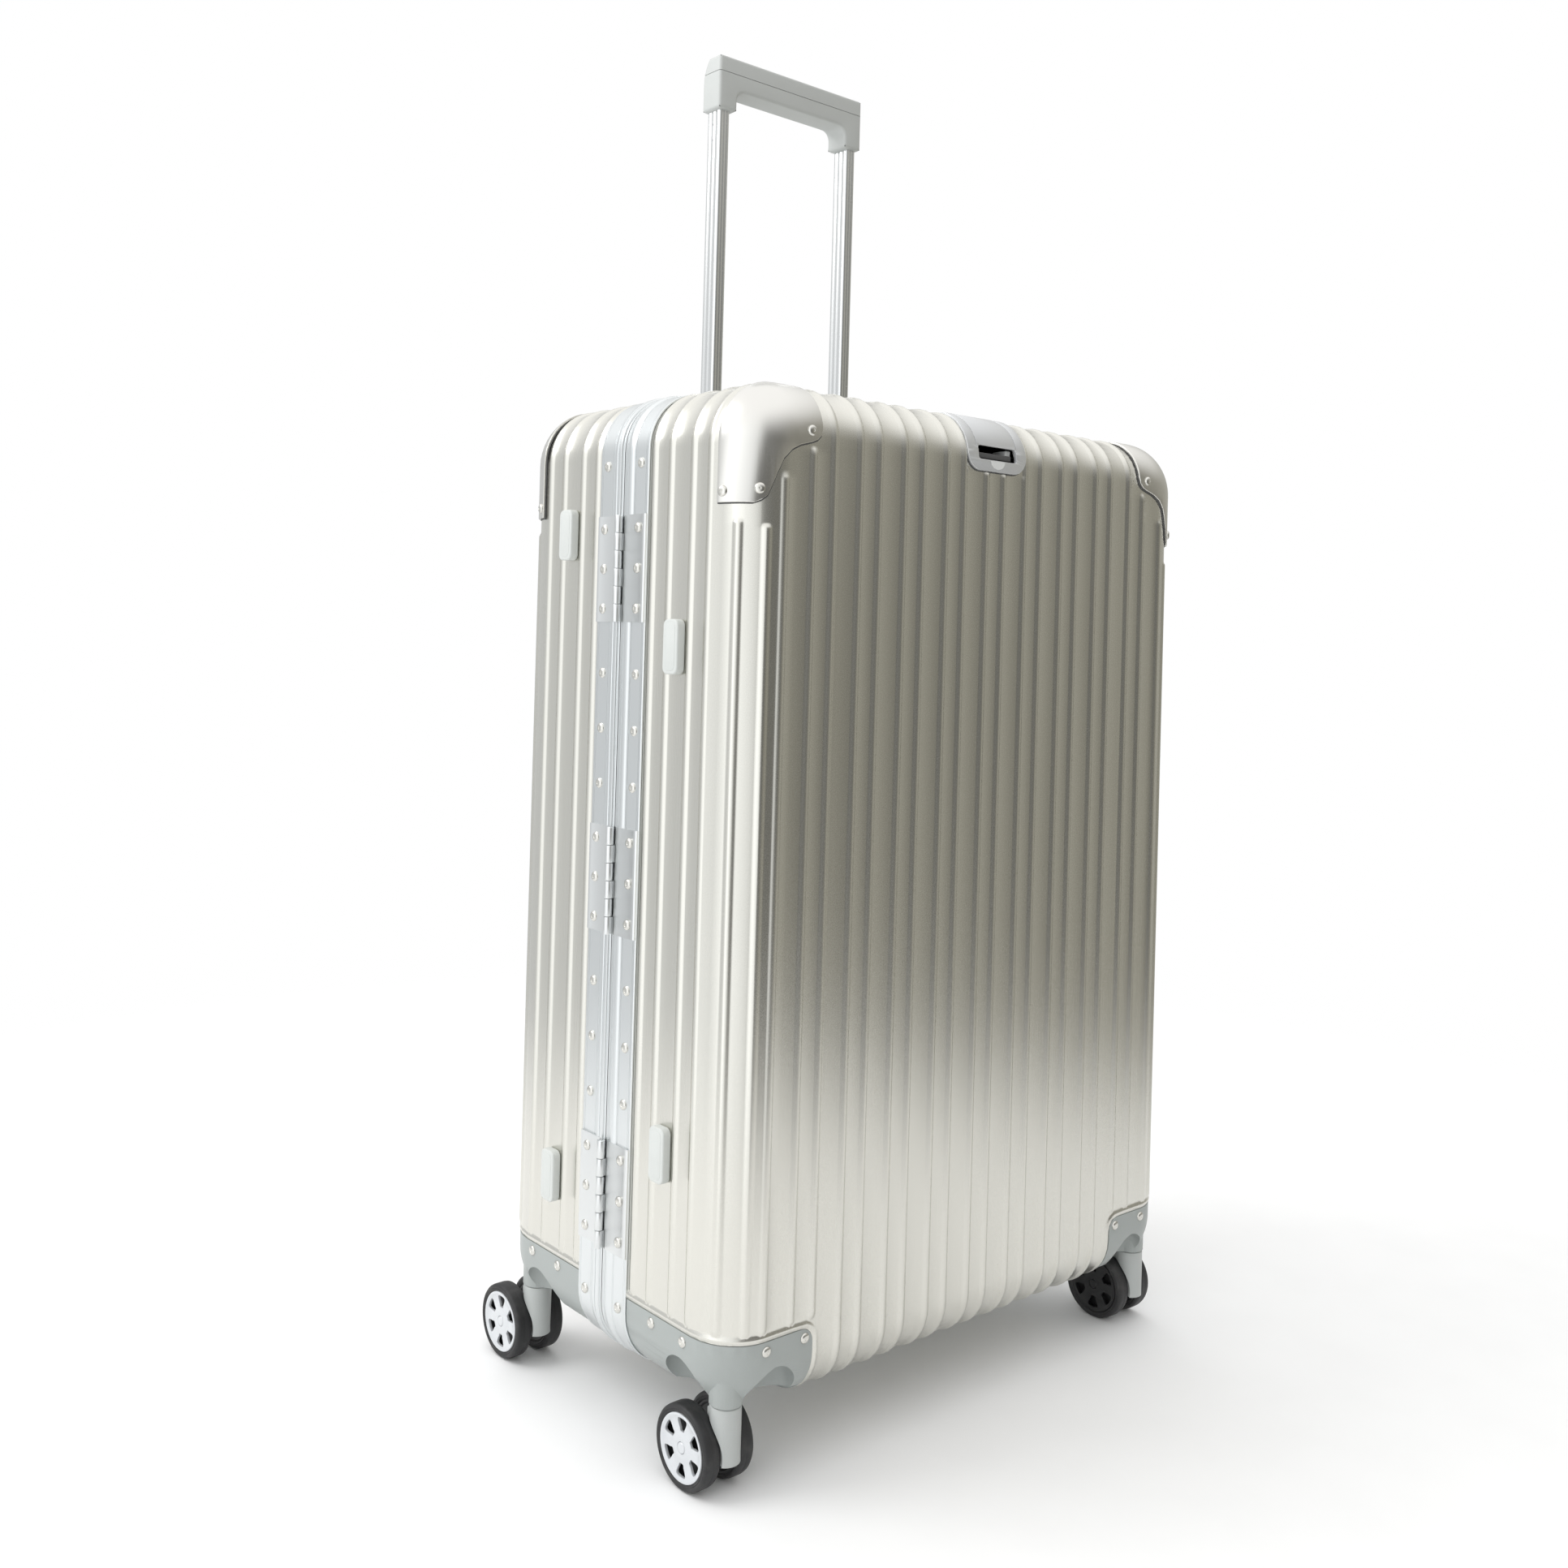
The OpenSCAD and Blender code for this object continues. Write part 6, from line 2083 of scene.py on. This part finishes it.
@dataclass(frozen=True)
class LidDivider:
    """Zipped net divider stretched across the lid."""

    y: float = 35 * MM
    half_width: float = 246.5 * MM
    low: float = 102.5 * MM
    high: float = 738.5 * MM
    radius: float = 30 * MM

    def build(self) -> None:
        """Makes the net, its hem and the zip."""
        width, height = 2 * self.half_width, self.high - self.low
        middle = (self.low + self.high) / 2
        outline = [(x, z + middle) for x, z in rounded_outline(width - 4 * MM, height - 4 * MM, self.radius,
                                                               8)]
        net = prism("divider_net_panel", outline, -(self.y + 1.3 * MM), -(self.y + 0.7 * MM), along_y(),
                    Palette.NET)
        net = place(moved(net, half_place(Half.LID)), "lid", "divider_fabric", "front_divider")
        hem = self.border(width, height, middle, 26 * MM, 1.9 * MM, Palette.STRAP, "hem")
        tape = self.border(width - 52 * MM, height - 52 * MM, middle, 11 * MM, 1.2 * MM, Palette.BINDING,
                           "tape")
        teeth = self.teeth(width - 63 * MM, height - 63 * MM, middle)
        slider = prism("slider", [(x, z + middle - 40 * MM) for x,
                                  z in rounded_outline(7 * MM, 11 * MM, 3 * MM)],
                       -(self.y + 1.9 * MM), -(self.y + 0.1 * MM), along_y(width / 2 - 31.5 * MM),
                       Palette.STEEL)
        pull = prism("pull", [(x, z + middle - 56 * MM) for x,
                              z in rounded_outline(4.4 * MM, 24 * MM, 2 * MM)],
                     -(self.y + 1.0 * MM), -(self.y + 0.05 * MM), along_y(width / 2 - 31.5 * MM),
                     Palette.STEEL)
        trim = join("divider_hem_and_zip", [hem, tape, teeth, soften(slider), soften(pull, 0.3 * MM)])
        trim = place(moved(trim, half_place(Half.LID)), "lid", "divider_fabric", "front_divider")

    def border(self, width: float, height: float, middle: float, band: float, thick: float,
               finish: Palette, name: str) -> Piece:
        """Flat border inside a rounded rectangle."""
        outer = [(x, z + middle) for x, z in rounded_outline(width, height, self.radius, 8)]
        inner = [(x, z + middle) for x, z in rounded_outline(width - 2 * band, height - 2 * band,
                                                             self.radius * 0.6, 8)]
        low = self.y + MM - thick / 2
        border = prism(name, outer, -(low + thick), -low, along_y(), finish)
        carve(border, prism("hole", inner, -0.1, 0.1, along_y(), finish))
        return soften(border, 0.3 * MM, 1, 50)

    def teeth(self, width: float, height: float, middle: float) -> Piece:
        """Zip teeth set round the tape."""
        path = rounded_outline(width, height, self.radius * 0.8, 8)
        points, pitch, carry = [], 2.4 * MM, 0.0
        for a, b in zip(path, [*path[1:], path[0]]):
            start, end = Vector((a[0], 0, a[1] + middle)), Vector((b[0], 0, b[1] + middle))
            length = (end - start).length
            while carry < length:
                spot = start.lerp(end, carry / length)
                points.append(((spot.x, self.y + 0.35 * MM, spot.z), (0, -1, 0)))
                carry += pitch
            carry -= length
        tooth = prism("tooth", rounded_outline(1.3 * MM, 4.2 * MM, 0.4 * MM, 1), -0.3 * MM, 0.3 * MM,
                      Matrix.Identity(4), Palette.STEEL)
        return scatter("zip_teeth", points, tooth, Palette.STEEL, 0.0)


def closing_seal() -> Piece:
    """Rubber lip between the two frames, with a rounded nose."""
    section = mm((-2.1, -0.05), (-2.1, 0.45), (-4.9, 0.45), (-4.9, 0.1), (-4.2, -0.08), (-2.9, -0.1))
    seal = FORM.ring("lip_seal", section, Palette.SEAL)
    return smooth(moved(seal, half_place(Half.REAR)), 50)


# ---- studio ----


@dataclass(frozen=True)
class Studio:
    """Pale floor, one soft light, the surroundings and the camera."""

    camera: tuple[float, float, float] = (-0.91809, -0.95148, 0.59465)
    yaw: float = 39.4432
    pitch: float = 0.5738
    roll: float = 1.5964
    lens: float = 34.640
    shift: tuple[float, float] = (0.0331, -0.0976)
    strength: float = 1.0
    room: tuple[tuple[float, float, float], ...] = (
        (-180, 0.7, 0), (-139, 0.72, 0), (-112, 0.9, 0), (-86, 1.7, 0), (-50, 1.25, 0), (-36, 1.1, 0),
        (-28, 0.6, 0.2),
        (-19, 0.17, 0.4), (12, 0.16, 0.7), (28, 0.23, 1), (46, 0.31, 1), (62, 0.37, 1), (95, 0.45, 0.8),
        (140, 0.6, 0.2), (180, 0.7, 0))

    def floor(self) -> None:
        """Wide matt floor that fades into the white surroundings."""
        finish = Finish("studio_floor", (0.94, 0.94, 0.94), 0.85)
        floor = new_object("studio_floor", [(-40, -40, 0), (40, -40, 0), (40, 40, 0), (-40, 40, 0)],
                           [(0, 1, 2, 3)])
        material = finish.build()
        floor.data.materials.append(material)
        graph = Graph(material.node_tree, clear=False)
        shader, output = graph.tree.nodes["Principled BSDF"], graph.tree.nodes["Material Output"]
        x, y, _ = graph.parts(graph.pattern_space(False, (1, 1, 1)))
        reach = (x * x + y * y).math("SQRT")
        open_air = graph.node("ShaderNodeBsdfTransparent")
        share = reach.smooth(0.6, 1.5)
        both = graph.node("ShaderNodeMixShader", None,
                          {0: share, 1: shader.outputs[0], 2: open_air.outputs[0]})
        graph.tree.links.new(both.outputs[0], output.inputs[0])

    def light(self, name: str, where: Point, aim: Point, size: tuple[float, float], power: float,
              color: Color = (1, 1, 1)) -> None:
        """Adds one soft box.

        Args:
            name: Name of the light.
            where: Its place.
            aim: The point that it faces.
            size: Its width and height.
            power: Its power in watts.
            color: Its colour.
        """
        data = bpy.data.lights.new(name, "AREA")
        data.shape, data.size, data.size_y = "RECTANGLE", *size
        data.energy, data.color = power, color
        lamp = bpy.data.objects.new(name, data)
        lamp.location = where
        lamp.rotation_mode = "QUATERNION"
        lamp.rotation_quaternion = (Vector(aim) - Vector(where)).to_track_quat("-Z", "Y")
        add_to_scene(lamp)

    def surroundings(self) -> None:
        """White surroundings for the camera and a graded room for reflections."""
        world = bpy.data.worlds.new("studio")
        bpy.context.scene.world = world
        world.use_nodes = True
        graph = Graph(world.node_tree)
        x, y, z = graph.parts(graph.node("ShaderNodeTexCoord").outputs["Generated"])
        turn = x.math("ARCTAN2", y * -1.0) / math.tau + 0.5
        stops = [(angle / 360 + 0.5, (level * (0.985 + 0.045 * warm), level, level * (1.01 - 0.14 * warm)))
                 for angle, level, warm in self.room]
        sky = z.smooth(0.15, 0.9)
        color = graph.mix(sky, graph.ramp(turn, stops), (1.28, 1.28, 1.28))
        room = graph.node("ShaderNodeBackground", None, {0: color, 1: self.strength})
        white = graph.node("ShaderNodeBackground", None, {0: (1.0, 1.0, 1.0, 1.0), 1: 1.0})
        seen = graph.node("ShaderNodeLightPath").outputs["Is Camera Ray"]
        both = graph.node("ShaderNodeMixShader", None, {0: seen, 1: room.outputs[0], 2: white.outputs[0]})
        graph.node("ShaderNodeOutputWorld", None, {0: both.outputs[0]})

    def view(self) -> None:
        """Sets up the camera."""
        data = bpy.data.cameras.new("camera")
        data.lens, data.sensor_width = self.lens, 36.0
        data.shift_x, data.shift_y = self.shift
        camera = bpy.data.objects.new("camera", data)
        add_to_scene(camera)
        yaw, pitch = math.radians(self.yaw), math.radians(self.pitch)
        ahead = Vector((math.sin(yaw) * math.cos(pitch), math.cos(yaw) * math.cos(pitch), math.sin(pitch)))
        camera.location = self.camera
        camera.rotation_mode = "QUATERNION"
        turn = ahead.to_track_quat("-Z", "Y")
        camera.rotation_quaternion = turn @ Matrix.Rotation(math.radians(self.roll), 3, "Z").to_quaternion()
        bpy.context.scene.camera = camera

    def build(self) -> None:
        """Sets the whole studio up."""
        scene = bpy.context.scene
        scene.view_settings.view_transform = "Standard"
        scene.view_settings.look = "None"
        self.floor()
        self.surroundings()
        self.view()
        self.light("left_box", (-2.2, 1.2, 2.6), (0, 0, 0.3), (1.6, 1.6), 30)


def main() -> None:
    """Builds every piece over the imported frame."""
    logging.basicConfig(level=logging.INFO, format="%(message)s")
    Studio().build()
    for half in Half:
        word, body = half.word, half.body
        place(RibbedShell(half).build(), body, "shell_aluminium", f"{word}_shell")
        place(HalfFrame(half).build(), body, "frame_aluminium", f"{word}_frame")
        place(RivetSet(half).build(), body, "rivet_metal", f"{word}_rivets")
        place(CornerGuards(half).build(), body, "guard_aluminium", f"{word}_corner_guards")
        place(WheelHousings(half).build(), body, "housing_plastic", f"{word}_wheel_housings")
        PackingSpace(half).build()
        for side in Side:
            Caster(half, side).build()
    HingeRow().build()
    SideFeet(Half.REAR, (679 * MM, 173 * MM)).build()
    SideFeet(Half.LID, (593 * MM, 228 * MM)).build()
    Trolley().build()
    CarryHandle("top", Matrix.Translation((0, PARTING_Y + HANDLE_Y, FORM.top + FLANGE))).build()
    CarryHandle("side", Matrix.Translation((FORM.half_width + FLANGE, PARTING_Y + HANDLE_Y, FORM.middle))
                @ Matrix.Rotation(math.pi / 2, 4, "Y")).build()
    Latches().build()
    BagHolder().build()
    PackStraps().build()
    LidDivider().build()
    place(closing_seal(), "rear_half", "seal_rubber", "frame_seal")


if __name__ == "__main__":
    main()
